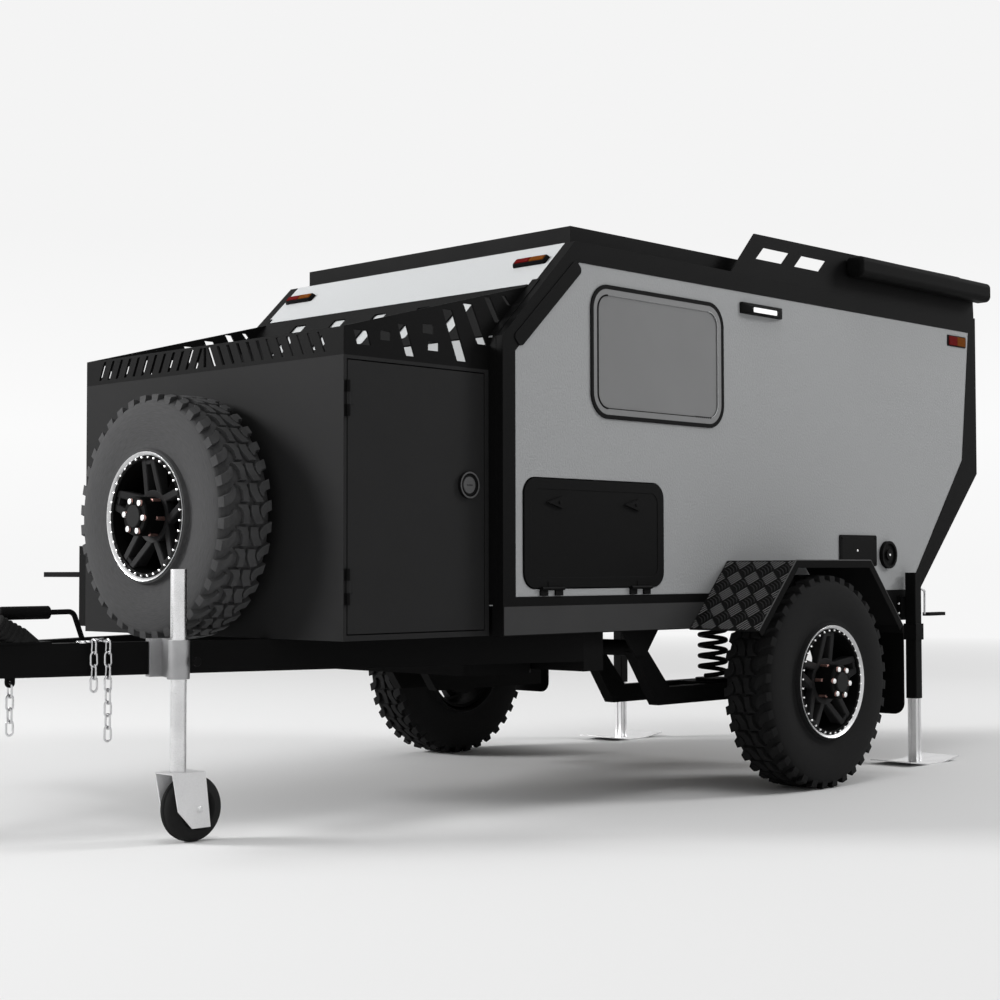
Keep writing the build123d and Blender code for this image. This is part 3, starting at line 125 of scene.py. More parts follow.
def coated(name, color, roughness, grain=900, depth=0.0003, specular=0.03, blotch=0.05):
    """Powder coat, moulded plastic or rubber: fine grain, faint blotches and softened edges."""
    g = Graph(name)
    shader = g.shader(roughness, specular=specular)
    fine = g.noise(grain, detail=2.0)
    broad = g.noise(7, detail=4.0)
    base = g.mix(g.spread(broad, 0, 1), scaled(color, 1 - blotch), scaled(color, 1 + blotch))
    g.link(g.mix(g.spread(fine, 0, 1, 0.35, 0.75), base, scaled(color, 1.25)), shader.inputs["Base Color"])
    g.link(g.spread(broad, roughness - 0.02, roughness + 0.02), shader.inputs["Roughness"])
    g.link(g.bump(fine, depth, 0.6, g.rounded(COAT_EDGE)), shader.inputs["Normal"])
    return g.material


def arch_plate(name, color, side_shade_color, roughness):
    """Powder coat, painted darker on the side faces to meet the photograph's tone there under this scene's light."""
    g = Graph(name)
    shader = g.shader(roughness, specular=0.03)
    fine = g.noise(1200, detail=2.0)
    parts = g.add("ShaderNodeSeparateXYZ")
    g.link(g.add("ShaderNodeTexCoord").outputs["Normal"], parts.inputs["Vector"])
    sideways = g.add("ShaderNodeMath", operation="ABSOLUTE")
    g.link(parts.outputs["Y"], sideways.inputs[0])
    base = g.mix(g.spread(fine, 0, 1), scaled(color, 0.9), scaled(color, 1.2))
    # Painted shade: the side faces take the darker side colour.
    g.link(g.mix(g.spread(sideways.outputs[0], 0, 1, 0.8, 0.95), base, side_shade_color), shader.inputs["Base Color"])
    g.link(g.bump(fine, 0.0001, 0.5, g.rounded(COAT_EDGE)), shader.inputs["Normal"])
    return g.material


def tyre_rubber(name, color):
    """Matt rubber with faint rings left by the mould and short scuffs along them."""
    g = Graph(name)
    shader = g.shader(0.82, specular=0.1)
    unwrapped = g.add("ShaderNodeUVMap", uv_map="round")
    along = g.add("ShaderNodeMapping", {"Scale": (22, 430, 1)})
    g.link(unwrapped.outputs["UV"], along.inputs["Vector"])
    scuffs = g.add("ShaderNodeTexNoise", {"Scale": 1.0, "Detail": 4.0})
    g.link(along.outputs["Vector"], scuffs.inputs["Vector"])
    fine = g.noise(900, detail=2.0)
    base = g.mix(g.spread(scuffs.outputs["Fac"], 0, 1, 0.35, 0.7), scaled(color, 0.86), scaled(color, 1.28))
    g.link(g.mix(g.spread(fine, 0, 1, 0.4, 0.8), base, scaled(color, 1.3)), shader.inputs["Base Color"])
    rings = g.bump(scuffs.outputs["Fac"], 0.0004, 0.7, g.rounded(0.0015))
    g.link(g.bump(fine, 0.0003, 0.5, rings), shader.inputs["Normal"])
    return g.material


def pebbled(name, color, roughness, cell, depth, edge):
    """Composite skin with a leather-like grain of small soft pebbles."""
    g = Graph(name)
    shader = g.shader(roughness, specular=0.15)
    pebbles = g.noise(cell, detail=2.5, roughness=0.6, stretch=(1, 1, 0.7))
    broad = g.noise(2.2, detail=3.0)
    base = g.mix(g.spread(broad, 0, 1), scaled(color, 0.965), scaled(color, 1.035))
    g.link(g.mix(g.spread(pebbles, 0, 1, 0.3, 0.7), scaled(color, 1.06), base), shader.inputs["Base Color"])
    g.link(g.spread(broad, roughness - 0.05, roughness + 0.05), shader.inputs["Roughness"])
    g.link(g.bump(pebbles, depth, 0.8, g.rounded(edge)), shader.inputs["Normal"])
    return g.material


def plated(name, color, roughness, streak=(1, 1, 1), edge=0.0008):
    """Bright plate or steel with a fine grain, drawn out along the piece where streak says so."""
    g = Graph(name)
    shader = g.shader(roughness, metallic=1.0)
    streaks = g.noise(700, detail=2.0, stretch=streak)
    cloud = g.noise(14, detail=4.0)
    g.link(g.mix(g.spread(cloud, 0, 1), scaled(color, 0.9), scaled(color, 1.05)), shader.inputs["Base Color"])
    g.link(g.spread(streaks, roughness - 0.07, roughness + 0.09), shader.inputs["Roughness"])
    g.link(g.bump(streaks, 0.0001, 0.4, g.rounded(edge)), shader.inputs["Normal"])
    return g.material


def clear(name, color, roughness, alpha):
    """Tinted acrylic: a glossy sheet that lets part of the light through."""
    g = Graph(name)
    shader = g.shader(roughness, specular=0.6)
    broad = g.noise(3, detail=2.0)
    g.link(g.mix(g.spread(broad, 0, 1), scaled(color, 0.96), scaled(color, 1.04)), shader.inputs["Base Color"])
    shader.inputs["Alpha"].default_value = alpha
    g.link(g.bump(broad, 0.0008, 0.3), shader.inputs["Normal"])
    return g.material


def lens(name, color, glow=0.0):
    """Ribbed lamp lens."""
    g = Graph(name)
    shader = g.shader(0.5, specular=0.02)
    shader.inputs["Emission Strength"].default_value = glow
    shader.inputs["Emission Color"].default_value = (*color, 1)
    cells = g.add("ShaderNodeTexVoronoi")
    g.link(g.place(260), cells.inputs["Vector"])
    g.link(g.mix(g.spread(cells.outputs["Distance"], 0, 1, 0.1, 0.6), color, scaled(color, 0.7)),
           shader.inputs["Base Color"])
    g.link(g.bump(cells.outputs["Distance"], 0.0006, 0.6, g.rounded(0.002)), shader.inputs["Normal"])
    return g.material


def timber(name, color):
    """Coated plywood."""
    g = Graph(name)
    shader = g.shader(0.55)
    rings = g.noise(30, detail=5.0, stretch=(0.12, 1, 1))
    g.link(g.mix(g.spread(rings, 0, 1), scaled(color, 0.75), scaled(color, 1.2)), shader.inputs["Base Color"])
    g.link(g.bump(rings, 0.0004, 0.5), shader.inputs["Normal"])
    return g.material


finish = {
    "frame": coated("frame_coat", (0.0052, 0.0052, 0.0053), 0.5),
    "roof": coated("roof_coat", (0.0058, 0.0058, 0.0059), 0.5),
    "sill": coated("sill_coat", (0.045, 0.045, 0.0455), 0.5),
    "box": coated("box_coat", (0.0195, 0.0195, 0.0198), 0.5),
    "panel": pebbled("panel_skin", (0.328, 0.334, 0.339), 0.55, 160, 0.0022, 0.002),
    "white": pebbled("white_skin", (0.525, 0.537, 0.543), 0.5, 300, 0.0003, 0.002),
    "rubber": coated("rubber", (0.018, 0.018, 0.018), 0.8, grain=1400, blotch=0.2),
    "gasket": coated("gasket_rubber", (0.0075, 0.0075, 0.0077), 0.6, grain=1600),
    # Painted shade: the road tyres' rubber is made darker, for the shade under the wheel arches.
    "tyre": tyre_rubber("road_tyre_painted_shade", (0.0092, 0.0092, 0.0094)),
    # Lighter than the road tyres' rubber, to meet the photograph's tone; one rubber is likelier.
    # Painted light: the spare's rubber is made lighter, for the light falling on its face.
    "tyre_spare_painted_light": tyre_rubber("spare_tyre_painted_light", (0.058, 0.058, 0.059)),
    "leg": plated("leg_steel", (0.70, 0.70, 0.705), 0.34, streak=(1, 1, 0.03)),
    "pane_border": clear("pane_border", (0.17, 0.172, 0.174), 0.25, 1.0),
    "flap": coated("flap_rubber", (0.003, 0.003, 0.003), 0.8, grain=1400),
    "awning": coated("awning_cover", (0.0045, 0.0045, 0.0045), 0.6, grain=1300),
    "rim": coated("rim_coat", (0.020, 0.020, 0.0205), 0.42, grain=1200, depth=0.0001),
    # Far darker than the spokes' rim coat: black on the bead ring's face, and painted shade in the barrel and down the
    # hub.
    "rim_dark": coated("rim_barrel_black_and_painted_shade", (0.003, 0.003, 0.003), 0.45, grain=1200, depth=0.0001),
    "rim_cap": coated("rim_cap_coat", (0.021, 0.021, 0.0212), 0.5, grain=1200, depth=0.0001),
    "lip": plated("bead_lip", (0.62, 0.62, 0.625), 0.3),
    "bolt_white": plated("bright_bolts", (0.95, 0.95, 0.95), 0.22, edge=0.0005),
    "copper": plated("copper_studs", (0.62, 0.36, 0.32), 0.4),
    # Painted shade: the arch's side faces are coloured far darker than its top faces.
    "chequer": arch_plate("arch_coat_painted_side_shade", (0.0085, 0.0085, 0.0087), (0.0015, 0.0015, 0.0015), 0.45),
    "chequer_bars": coated("chequer_coat", (0.022, 0.022, 0.0223), 0.35, grain=1200, depth=0.0001, specular=0.12),
    # Painted sheen: the straight bars are coloured pale, as if they caught the light; the bowed bars keep the dark
    # coat.
    "chequer_bright": coated("chequer_bars_painted_sheen", (0.26, 0.26, 0.262), 0.34, grain=1200, depth=0.0001),
    "plastic": coated("moulded_plastic", (0.0055, 0.0055, 0.0056), 0.5, grain=1300),
    "spring": coated("spring_coat", (0.008, 0.008, 0.008), 0.4, grain=1500, depth=0.0001),
    "zinc": plated("zinc_plate", (0.74, 0.74, 0.745), 0.27),
    "clamp": plated("clamp_plate", (0.36, 0.36, 0.365), 0.42),
    "chain": plated("chain_plate", (0.62, 0.62, 0.63), 0.18),
    "latch_grey": coated("latch_cast", (0.085, 0.085, 0.086), 0.45, grain=1500, depth=0.0001),
    "bead_grey": coated("arch_edge", (0.085, 0.085, 0.086), 0.45, grain=1500, depth=0.0001),
    "fork": coated("fork_paint", (0.66, 0.66, 0.665), 0.4, grain=600, depth=0.0001, blotch=0.04),
    "glass": clear("tinted_acrylic", (0.175, 0.177, 0.179), 0.12, 0.95),
    "lamp_red": lens("lens_red", (0.15, 0.0006, 0.0003)),
    "lamp_amber": lens("lens_amber", (0.19, 0.052, 0.0004)),
    "lamp_clear": lens("lens_clear", (0.9, 0.9, 0.9), glow=0.6),
    "floor_board": timber("floor_board", (0.16, 0.12, 0.08)),
}

NODE_FINISH = {
    "frame": ("chassis", "trailing_arms", "arm_hangers", "side_frames", "rear_slope_panel", "gallery_rail",
              "side_shelf", "spare_carrier", "leg_housings", "coupler_head", "door_hinges",
              "rear_hatch"),
    "chequer": ("wheel_arches",),
    "chain": ("safety_chains",),
    "roof": ("roof", "awning_bracket"),
    "box": ("front_box", "box_door"),
    "panel": ("side_panel_left", "side_panel_right", "entry_door"),
    "white": ("front_panel",),
    "rubber": ("brake_gaiter", "jockey_wheel"),
    "flap": ("mudflaps",),
    "awning": ("awning_case",),
    "gasket": ("window_frame",),
    "tyre": ("tyre_left", "tyre_right", "spare_tyre"),
    "rim": ("rim_left", "rim_right", "spare_rim"),
    "plastic": ("baggage_door", "handbrake_lever", "service_fittings", "water_tank", "lamps"),
    "spring": ("coil_springs",),
    "zinc": ("leg_left", "leg_right", "jockey_tube"),
    "clamp": ("jockey_clamp",),
    "fork": ("jockey_fork",),
    "glass": ("window_pane",),
    "floor_board": ("floor_panel",),
}
for material, names in NODE_FINISH.items():
    for name in names:
        for slot in nodes[name].material_slots:
            slot.material = finish[material]

# ---- places read from the CAD model ----
MM = 0.001


def corners(node):
    low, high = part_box(node)
    return low, high, (low + high) / 2


_, SPARE_HIGH, SPARE_CENTRE = corners("spare_tyre")
AXLE_X = corners("tyre_left")[2].x
CABIN_SIDE = corners("side_panel_left")[1].y
SIDES = ((1, "left"), (-1, "right"))


def station(x):
    """World X of a place given in millimetres ahead of the wheel axle."""
    return AXLE_X + x * MM


def facing(origin, outward, up=(0, 0, 1)):
    """Frame with local z along outward and local x along up."""
    z = Vector(outward).normalized()
    x = Vector(up).normalized()
    y = z.cross(x)
    frame_matrix = Matrix((x, y, z)).transposed().to_4x4()
    frame_matrix.translation = Vector(origin)
    return frame_matrix


# ---- mesh building ----
class Shape:
    """Collects the faces of one piece, each batch placed by a frame."""

    def __init__(self):
        self.points = []
        self.faces = []

    def add(self, points, faces, place=Matrix()):
        start = len(self.points)
        self.points += [place @ Vector(p) for p in points]
        self.faces += [[start + i for i in face] for face in faces]

    def rings(self, rings, place=Matrix(), closed=True, caps=True):
        """Joins rings of equally many points into a skin; closed rings come round on themselves."""
        count = len(rings[0])
        points = [p for ring in rings for p in ring]
        faces = []
        for level in range(len(rings) - 1):
            for i in range(count if closed else count - 1):
                j = (i + 1) % count
                faces.append([level * count + i, level * count + j, (level + 1) * count + j, (level + 1) * count + i])
        if caps:
            faces.append(list(range(count))[::-1])
            faces.append([(len(rings) - 1) * count + i for i in range(count)])
        self.add(points, faces, place)
        return self

    def lathe(self, profile, steps, place=Matrix(), caps=False):
        """Turns (radius, height) points, in millimetres, about local z."""
        turned = []
        for radius, height in scaled_points(profile):
            turned.append([(radius * math.cos(a), radius * math.sin(a), height) for a in turn_angles(steps)])
        self.rings(turned, place, caps=caps)
        return self

    def prism(self, outline, low, high, place=Matrix(), chamfer=0.0):
        """Outline in local x, y between two heights, its upper edge chamfered, all in millimetres."""
        outline = scaled_points(outline)
        low, high, chamfer = low * MM, high * MM, chamfer * MM
        middle = sum((Vector((*p, 0)) for p in outline), Vector()) / len(outline)
        levels = [(low, 0), (high, 0)] if not chamfer else [(low, 0), (high - chamfer, 0), (high, chamfer)]
        rings = []
        for height, inset in levels:
            ring = []
            for p in outline:
                away = Vector((*p, 0)) - middle
                kept = away * (1 - inset / max(away.length, inset)) if inset else away
                ring.append((*(middle + kept).xy, height))
            rings.append(ring)
        self.rings(rings, place)
        return self

    def tube(self, path, radius, sides, closed=False, caps=True):
        """Round wire along a path of points in metres; its radius is in millimetres."""
        radius *= MM
        rings = []
        count = len(path)
        normal = None
        for i, point in enumerate(path):
            after = path[(i + 1) % count] if closed or i + 1 < count else point
            before = path[i - 1] if closed or i else point
            along = (Vector(after) - Vector(before)).normalized()
            if normal is None:
                normal = along.orthogonal().normalized()
            normal = (normal - along * normal.dot(along)).normalized()
            other = along.cross(normal)
            rings.append([Vector(point) + radius * (normal * math.cos(a) + other * math.sin(a))
                          for a in turn_angles(sides)])
        if closed:
            rings.append(rings[0])
        self.rings(rings, caps=caps and not closed)
        return self

    def build(self, name, material, body="trailer", smooth_angle=32, replaces=(), wrapped=None):
        mesh = bpy.data.meshes.new(name)
        mesh.from_pydata(self.points, [], self.faces)
        work = bmesh.new()
        work.from_mesh(mesh)
        bmesh.ops.remove_doubles(work, verts=work.verts, dist=1e-6)
        bmesh.ops.recalc_face_normals(work, faces=work.faces)
        work.to_mesh(mesh)
        work.free()
        mesh.shade_smooth()
        mesh.set_sharp_from_angle(angle=math.radians(smooth_angle))
        mesh.materials.append(finish[material])
        if wrapped is not None:
            wrap_round(mesh, wrapped)
        piece = bpy.data.objects.new(name, mesh)
        bpy.context.scene.collection.objects.link(piece)
        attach(piece, body)
        if replaces:
            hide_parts(*replaces)
        return piece


def wrap_round(mesh, place):
    """UVs that go round a wheel: turn in metres at the tread, and distance from the wheel's axis."""
    back = place.inverted()
    layer = mesh.uv_layers.new(name="round")
    for face in mesh.polygons:
        local = [back @ mesh.vertices[mesh.loops[i].vertex_index].co for i in face.loop_indices]
        turns = [math.atan2(p.y, p.x) for p in local]
        for i, p, turn in zip(face.loop_indices, local, turns):
            if turn - turns[0] > math.pi:
                turn -= 2 * math.pi
            elif turns[0] - turn > math.pi:
                turn += 2 * math.pi
            layer.data[i].uv = (turn * TREAD_RADIUS * MM, math.hypot(p.x, p.y))


def scaled_points(points):
    """Points in the plane, from millimetres to metres."""
    return [(x * MM, y * MM) for x, y in points]


def turn_angles(steps, phase=0.0):
    return [phase + 2 * math.pi * i / steps for i in range(steps)]


def rounded_outline(width, height, corner, steps=6):
    """Rectangle about the origin with round corners, as a closed list of points."""
    outline = []
    for quarter, (sx, sy) in enumerate(((1, 1), (-1, 1), (-1, -1), (1, -1))):
        for i in range(steps + 1):
            a = math.pi / 2 * (quarter + i / steps)
            outline.append((sx * (width / 2 - corner) + corner * math.cos(a),
                            sy * (height / 2 - corner) + corner * math.sin(a)))
    return outline


# ---- wheels ----
TREAD_PITCHES = 36
TREAD_RADIUS = 387.0
TREAD_BASE = 372.0
TREAD_HALF = 91.5
SHOULDER_START = 55.0
SHOULDER_DROP = 3.0
# Tread block outlines in millimetres: along the tread, across it (positive toward the wheel's face).
CLAW_OUTER = ((-47, 91.5), (-14, 91.5), (-6, 71), (2, 60), (15, 52), (13, 45), (0, 44), (-12, 46), (-26, 54),
              (-37, 67))
HOOK_OUTER = ((30, 38), (30, 6), (12, -4), (-29, -5), (-29, 22), (-25, 18), (2, 18), (18, 27), (27, 41))
HOOK_INNER = ((29, -11), (29, -38), (7, -41), (-9, -49), (-27, -60), (-30, -32), (-18, -24), (-7, -17), (7, -11))
CLAW_INNER = ((47, -91.5), (15, -91.5), (8, -73), (0, -64), (-10, -61), (-9, -55), (3, -48), (16, -47), (28, -54),
              (37, -67))
TREAD_ROWS = (CLAW_OUTER, HOOK_OUTER, HOOK_INNER, CLAW_INNER)
# Sidewall from the bead to the tread: radius, depth inward from the wheel's face.
SIDEWALL = ((199, 20), (203.6, 6), (203.8, -5), (205.5, -7), (209.5, -6), (212, -1), (213, 6), (214.5, 8), (217, 7.5),
            (224, 9.5), (236, 8.6), (262, 3.6), (288, 0.9), (312, 0.3), (336, 2.2), (350, 4.6), (359, 7.4), (364, 11),
            (367, 17), (369, 26))
SHOULDER_FOOT = 360.0
TYRE_WIDTH = 205.0
BLOCK_EDGE = 1.4


def tread_point(along, across, radius):
    angle = along / TREAD_RADIUS
    return (radius * MM * math.cos(angle), radius * MM * math.sin(angle), (across - TYRE_WIDTH / 2) * MM)


def tread_top(across):
    over = max(0.0, abs(across) - SHOULDER_START) / (TREAD_HALF - SHOULDER_START)
    return TREAD_RADIUS - SHOULDER_DROP * over ** 2


def block_foot(across):
    """Foot of a tread block: outward and lower at the shoulder, where the block runs down into the sidewall."""
    if abs(across) < TREAD_HALF:
        return across, TREAD_BASE - 3
    return math.copysign(TREAD_HALF + 3.2, across), SHOULDER_FOOT


def make_tyre(name, place, body, node, material="tyre"):
    """Tyre with fine sidewall rings and four rows of curved mud blocks."""
    carcass = Shape()
    inner = [(r, TYRE_WIDTH - d) for r, d in reversed(SIDEWALL)]
    profile = list(SIDEWALL) + [(TREAD_BASE, 40), (TREAD_BASE, TYRE_WIDTH - 40)] + inner
    carcass.lathe([(r, -d) for r, d in profile], 216, place)
    pitch = 2 * math.pi * TREAD_RADIUS / TREAD_PITCHES
    for outline in TREAD_ROWS:
        middle_u = sum(u for u, _ in outline) / len(outline)
        middle_v = sum(v for _, v in outline) / len(outline)
        for number in range(TREAD_PITCHES):
            start = number * pitch
            foot = [tread_point(start + u, *block_foot(v)) for u, v in outline]
            edge = [tread_point(start + u, v, tread_top(v) - BLOCK_EDGE) for u, v in outline]
            top = []
            for u, v in outline:
                reach = math.hypot(u - middle_u, v - middle_v)
                keep = 1 - BLOCK_EDGE / reach
                across = middle_v + (v - middle_v) * keep
                top.append(tread_point(start + middle_u + (u - middle_u) * keep, across, tread_top(across)))
            carcass.rings([foot, edge, top], place)
    return carcass.build(name, material, body, replaces=(node,), wrapped=place)


RIM_SPOKES = 5
SPOKE_FOOT = (58, 36)
SPOKE_TIP = (185, 21)
SPOKE_HALF = 12.5
SPOKE_TIP_HEIGHT = -3
SPOKE_FOOT_HEIGHT = -27
SPOKE_BACK_HEIGHT = -50
BRIDGE_INNER, BRIDGE_OUTER = 164, 182
BRIDGE_HALF, BRIDGE_HEIGHT = 11, -7
HUB_FRONT = 43
NUT_CIRCLE = 50
NUT_COUNT = 6
NUT_PHASE = 23
STUD_CIRCLE = 61
BEAD_BOLTS = 36
BEAD_BOLT_CIRCLE = 185.5


def around(place, angle, radius):
    """Frame at an angle and a radius, in millimetres, about a wheel's frame."""
    return place @ Matrix.Rotation(angle, 4, "Z") @ Matrix.Translation((radius * MM, 0, 0))


def make_rim(name, place, body, node):
    """Paired spokes and barrel, a bright bead lip with its bolts, and the deep hub with nuts and studs."""
    barrel = Shape()
    barrel_profile = ((192.5, -1), (192, 2), (181, 2), (179, 1), (178, -6), (172, -22), (168, -90), (178, -188),
                      (190, -192), (192, -60), (192.5, -1))
    barrel.lathe(barrel_profile, 144, place)
    hub_profile = ((62, -126), (62, 38), (60, 41), (57, HUB_FRONT), (38, HUB_FRONT), (38, HUB_FRONT - 3),
                   (1, HUB_FRONT - 3))
    barrel.lathe(hub_profile, 72, place)
    # The barrel and hub take the dark rim tone: painted shade inside the wheel.
    barrel.build(name, "rim_dark", body, replaces=(node,))
    spokes = Shape()
    foot_ring = ((62, -30), (62, SPOKE_FOOT_HEIGHT), (64, SPOKE_FOOT_HEIGHT + 0.5), (82, -23), (84, -25), (84, -50))
    spokes.lathe(foot_ring, 72, place)
    for number in range(RIM_SPOKES):
        turn = Matrix.Rotation(2 * math.pi * number / RIM_SPOKES, 4, "Z")
        for side in (-1, 1):
            rings = []
            for radius, half, height in ((*SPOKE_FOOT, SPOKE_FOOT_HEIGHT), (*SPOKE_TIP, SPOKE_TIP_HEIGHT)):
                low, high = half - SPOKE_HALF, half + SPOKE_HALF
                section = ((low, SPOKE_BACK_HEIGHT), (low, height - 3), (low + 3, height), (high - 3, height),
                           (high, height - 3), (high, SPOKE_BACK_HEIGHT))
                rings.append([(radius * MM, side * y * MM, z * MM) for y, z in section])
            spokes.rings(rings, place @ turn)
        bridge = ((BRIDGE_INNER, -BRIDGE_HALF), (BRIDGE_OUTER, -BRIDGE_HALF),
                  (BRIDGE_OUTER, BRIDGE_HALF), (BRIDGE_INNER, BRIDGE_HALF))
        spokes.prism(bridge, SPOKE_BACK_HEIGHT, BRIDGE_HEIGHT, place @ turn)
    spokes.build(name + "_spokes", "rim", body)
    cap = Shape().lathe(((35.5, HUB_FRONT - 4), (35.5, 49.5), (34.5, 51), (0.5, 51)), 64, place)
    cap.build(name + "_cap", "rim_cap", body)
    lip = Shape()
    lip_profile = ((201, -8), (203.6, 2), (203.6, 9.4), (202.8, 10.2), (201.6, 9.8), (197, 6.6), (193, 3.2),
                   (192, 2), (191, -2))
    lip.lathe(lip_profile, 180, place)
    lip.build(name + "_bead_lip", "lip", body)
    bright = Shape()
    for angle in turn_angles(BEAD_BOLTS, math.pi / BEAD_BOLTS):
        seat = around(place, angle, BEAD_BOLT_CIRCLE)
        bright.lathe(((3.7, 1), (3.7, 7.4), (3.1, 8.5), (1.4, 9.1), (0.05, 9.2)), 12, seat)
    studs = Shape()
    for angle in turn_angles(NUT_COUNT, math.radians(NUT_PHASE)):
        seat = around(place, angle, NUT_CIRCLE)
        nut = ((9.6, HUB_FRONT + 2), (9.6, 49), (8.6, 50.4), (5, 50.9), (0.1, 51))
        bright.lathe(nut, 20, seat)
        studs.lathe(((10.4, HUB_FRONT - 3), (10.4, HUB_FRONT + 1.5), (9.4, 47)), 20, seat)
        stud_seat = around(place, angle, STUD_CIRCLE)
        studs.lathe(((0.1, -24), (6.5, -24), (6.5, 5), (5.5, 6), (0.1, 6)), 14, stud_seat)
    bright.build(name + "_bolts", "bolt_white", body)
    studs.build(name + "_studs", "copper", body)


def make_wheels():
    for side, name in SIDES:
        low, high, centre = corners(f"tyre_{name}")
        face_y = high.y if side > 0 else low.y
        place = facing((centre.x, face_y, centre.z), (0, side, 0))
        make_tyre(f"mud_tyre_{name}", place, f"wheel_{name}", f"tyre_{name}")
        make_rim(f"wheel_rim_{name}", place, f"wheel_{name}", f"rim_{name}")
    place = facing((SPARE_HIGH.x, SPARE_CENTRE.y, SPARE_CENTRE.z), (1, 0, 0))
    make_tyre("mud_tyre_spare", place, "trailer", "spare_tyre", "tyre_spare_painted_light")
    make_rim("wheel_rim_spare", place, "trailer", "spare_rim")


# ---- chequer plate on the wheel arches ----
# Arch outline: millimetres ahead of the axle, height.
ARCH_OUTLINE = ((445, 582), (217, 826), (-266, 826), (-485, 580))
ARCH_INNER = 746
ARCH_OUTER = 1050
CHEQUER_CELL = 54
CHEQUER_MARGIN = 4
# Share of a pitch from the plate's start to the first row of cells.
CHEQUER_START = 0.24
# Bars of a cell: count, spacing, length, width, bow.
BRIGHT_BARS = (5, 10.4, 48, 2.3, 0)
DARK_BARS = (4, 12.0, 44, 3.2, 7)
BAR_HEIGHT = 1.9
# Share of the bar's half length, share of its full section.
BAR_STATIONS = ((-1, 0.15), (-0.85, 1), (-0.45, 1), (0, 1), (0.45, 1), (0.85, 1), (1, 0.15))


def kept_stretch(middle, run, half, length, width):
    """The part of a bar that stays on the plate, as two distances along the bar."""
    low, high = -half, half
    for place, speed, limit in ((middle[0], run[0], length), (middle[1], run[1], width)):
        ends = sorted(((CHEQUER_MARGIN - place) / speed, (limit - CHEQUER_MARGIN - place) / speed))
        low, high = max(low, ends[0]), min(high, ends[1])
    return low, high


def chequer_cell(shape, frame_at, middle, lean, bars, length, width):
    """One cell: a row of raised bars, straight or bowed, side by side."""
    count, gap, long, wide, bow = bars
    root = math.sqrt(0.5)
    run, step = (root, lean * root), (root, -lean * root)
    section = [(wide / 2 * math.cos(math.pi * t / 4), BAR_HEIGHT * math.sin(math.pi * t / 4)) for t in range(5)]
    for bar in range(count):
        offset = (bar - (count - 1) / 2) * gap
        centre = (middle[0] + step[0] * offset, middle[1] + step[1] * offset)
        low, high = kept_stretch(centre, run, long / 2, length, width)
        if high - low < 3 * wide:
            continue
        sections = []
        for share, size in BAR_STATIONS:
            along = (low + high) / 2 + share * (high - low) / 2
            aside = bow * (1 - share * share)
            u, v = centre[0] + run[0] * along + step[0] * aside, centre[1] + run[1] * along + step[1] * aside
            sections.append([frame_at(u + step[0] * w * size, v + step[1] * w * size, h * size) for w, h in section])
        shape.rings(sections, caps=False)


def chequer_plate(bright, dark, origin, along, normal, length, side):
    """Cells of straight bars and cells of bowed bars in turn, on a plate that starts at origin."""
    across = Vector((0, side, 0))
    width = ARCH_OUTER - ARCH_INNER
    pitch = CHEQUER_CELL * math.sqrt(2)

    def frame_at(u, v, height):
        return origin + (along * u + across * v + normal * height) * MM

    for i in range(-1, int(length / pitch) + 2):
        for j in range(-1, int(width / pitch) + 2):
            u, v = (i + CHEQUER_START) * pitch, j * pitch
            chequer_cell(bright, frame_at, (u, v), 1, BRIGHT_BARS, length, width)
            chequer_cell(dark, frame_at, (u + pitch / 2, v + pitch / 2), -1, DARK_BARS, length, width)


def make_chequer():
    bright = Shape()
    dark = Shape()
    for side in (-1, 1):
        for (x0, z0), (x1, z1) in zip(ARCH_OUTLINE, ARCH_OUTLINE[1:]):
            start = Vector((station(x0), side * ARCH_INNER * MM, z0 * MM))
            end = Vector((station(x1), side * ARCH_INNER * MM, z1 * MM))
            along = (end - start).normalized()
            normal = Vector((along.z, 0, -along.x))
            if normal.z < 0:
                normal = -normal
            chequer_plate(bright, dark, start, along, normal, (end - start).length / MM, side)
    # Painted sheen on the straight bars, which are coloured pale as if lit.
    bright.build("arch_bright_bars", "chequer_bright", smooth_angle=50)
    dark.build("arch_dark_bars", "chequer_bars", smooth_angle=50)
    edges = Shape()
    for side in (-1, 1):
        path = [(station(x), side * (ARCH_OUTER - 2) * MM, (z + 1) * MM) for x, z in ARCH_OUTLINE]
        edges.tube(path, 2.4, 8)
    edges.build("arch_edge_beads", "bead_grey")


# ---- chains ----
LINK_LENGTH = 50
LINK_WIDTH = 28
LINK_WIRE = 6.5
LINK_PITCH = LINK_LENGTH - 2 * LINK_WIRE - 0.3
RAIL_TOP = 0.583
# Sideways run of the drawbar's rail for each unit forward.
RAIL_SLOPE = 0.3365
LONG_STRAND_X, LONG_STRAND_LINKS = 2512, 8
SHORT_STRAND_X, SHORT_STRAND_LINKS = 2552, 4
FRONT_STRAND_X, FRONT_STRAND_Y, FRONT_STRAND_TOP = 2757, 0.058, 0.471
# Loose links on the rail: station, shift across, turn in degrees, links under it.
LOOSE_LINKS = ((2530, 0, 25, 1), (2566, -16, -35, 0), (2590, 8, 60, 0))


def add_link(shape, centre, along, across, steps=8):
    """Round-wire chain link: a slot shape."""
    end = (LINK_WIDTH - LINK_WIRE) / 2
    straight = (LINK_LENGTH - LINK_WIRE) / 2 - end
    path = []
    for sign in (1, -1):
        for i in range(steps + 1):
            a = -math.pi / 2 + math.pi * i / steps
            reach = straight + end * math.cos(a)
            path.append(centre + MM * (along * sign * reach + across * sign * end * math.sin(a)))
    shape.tube(path, LINK_WIRE / 2, 10, closed=True)


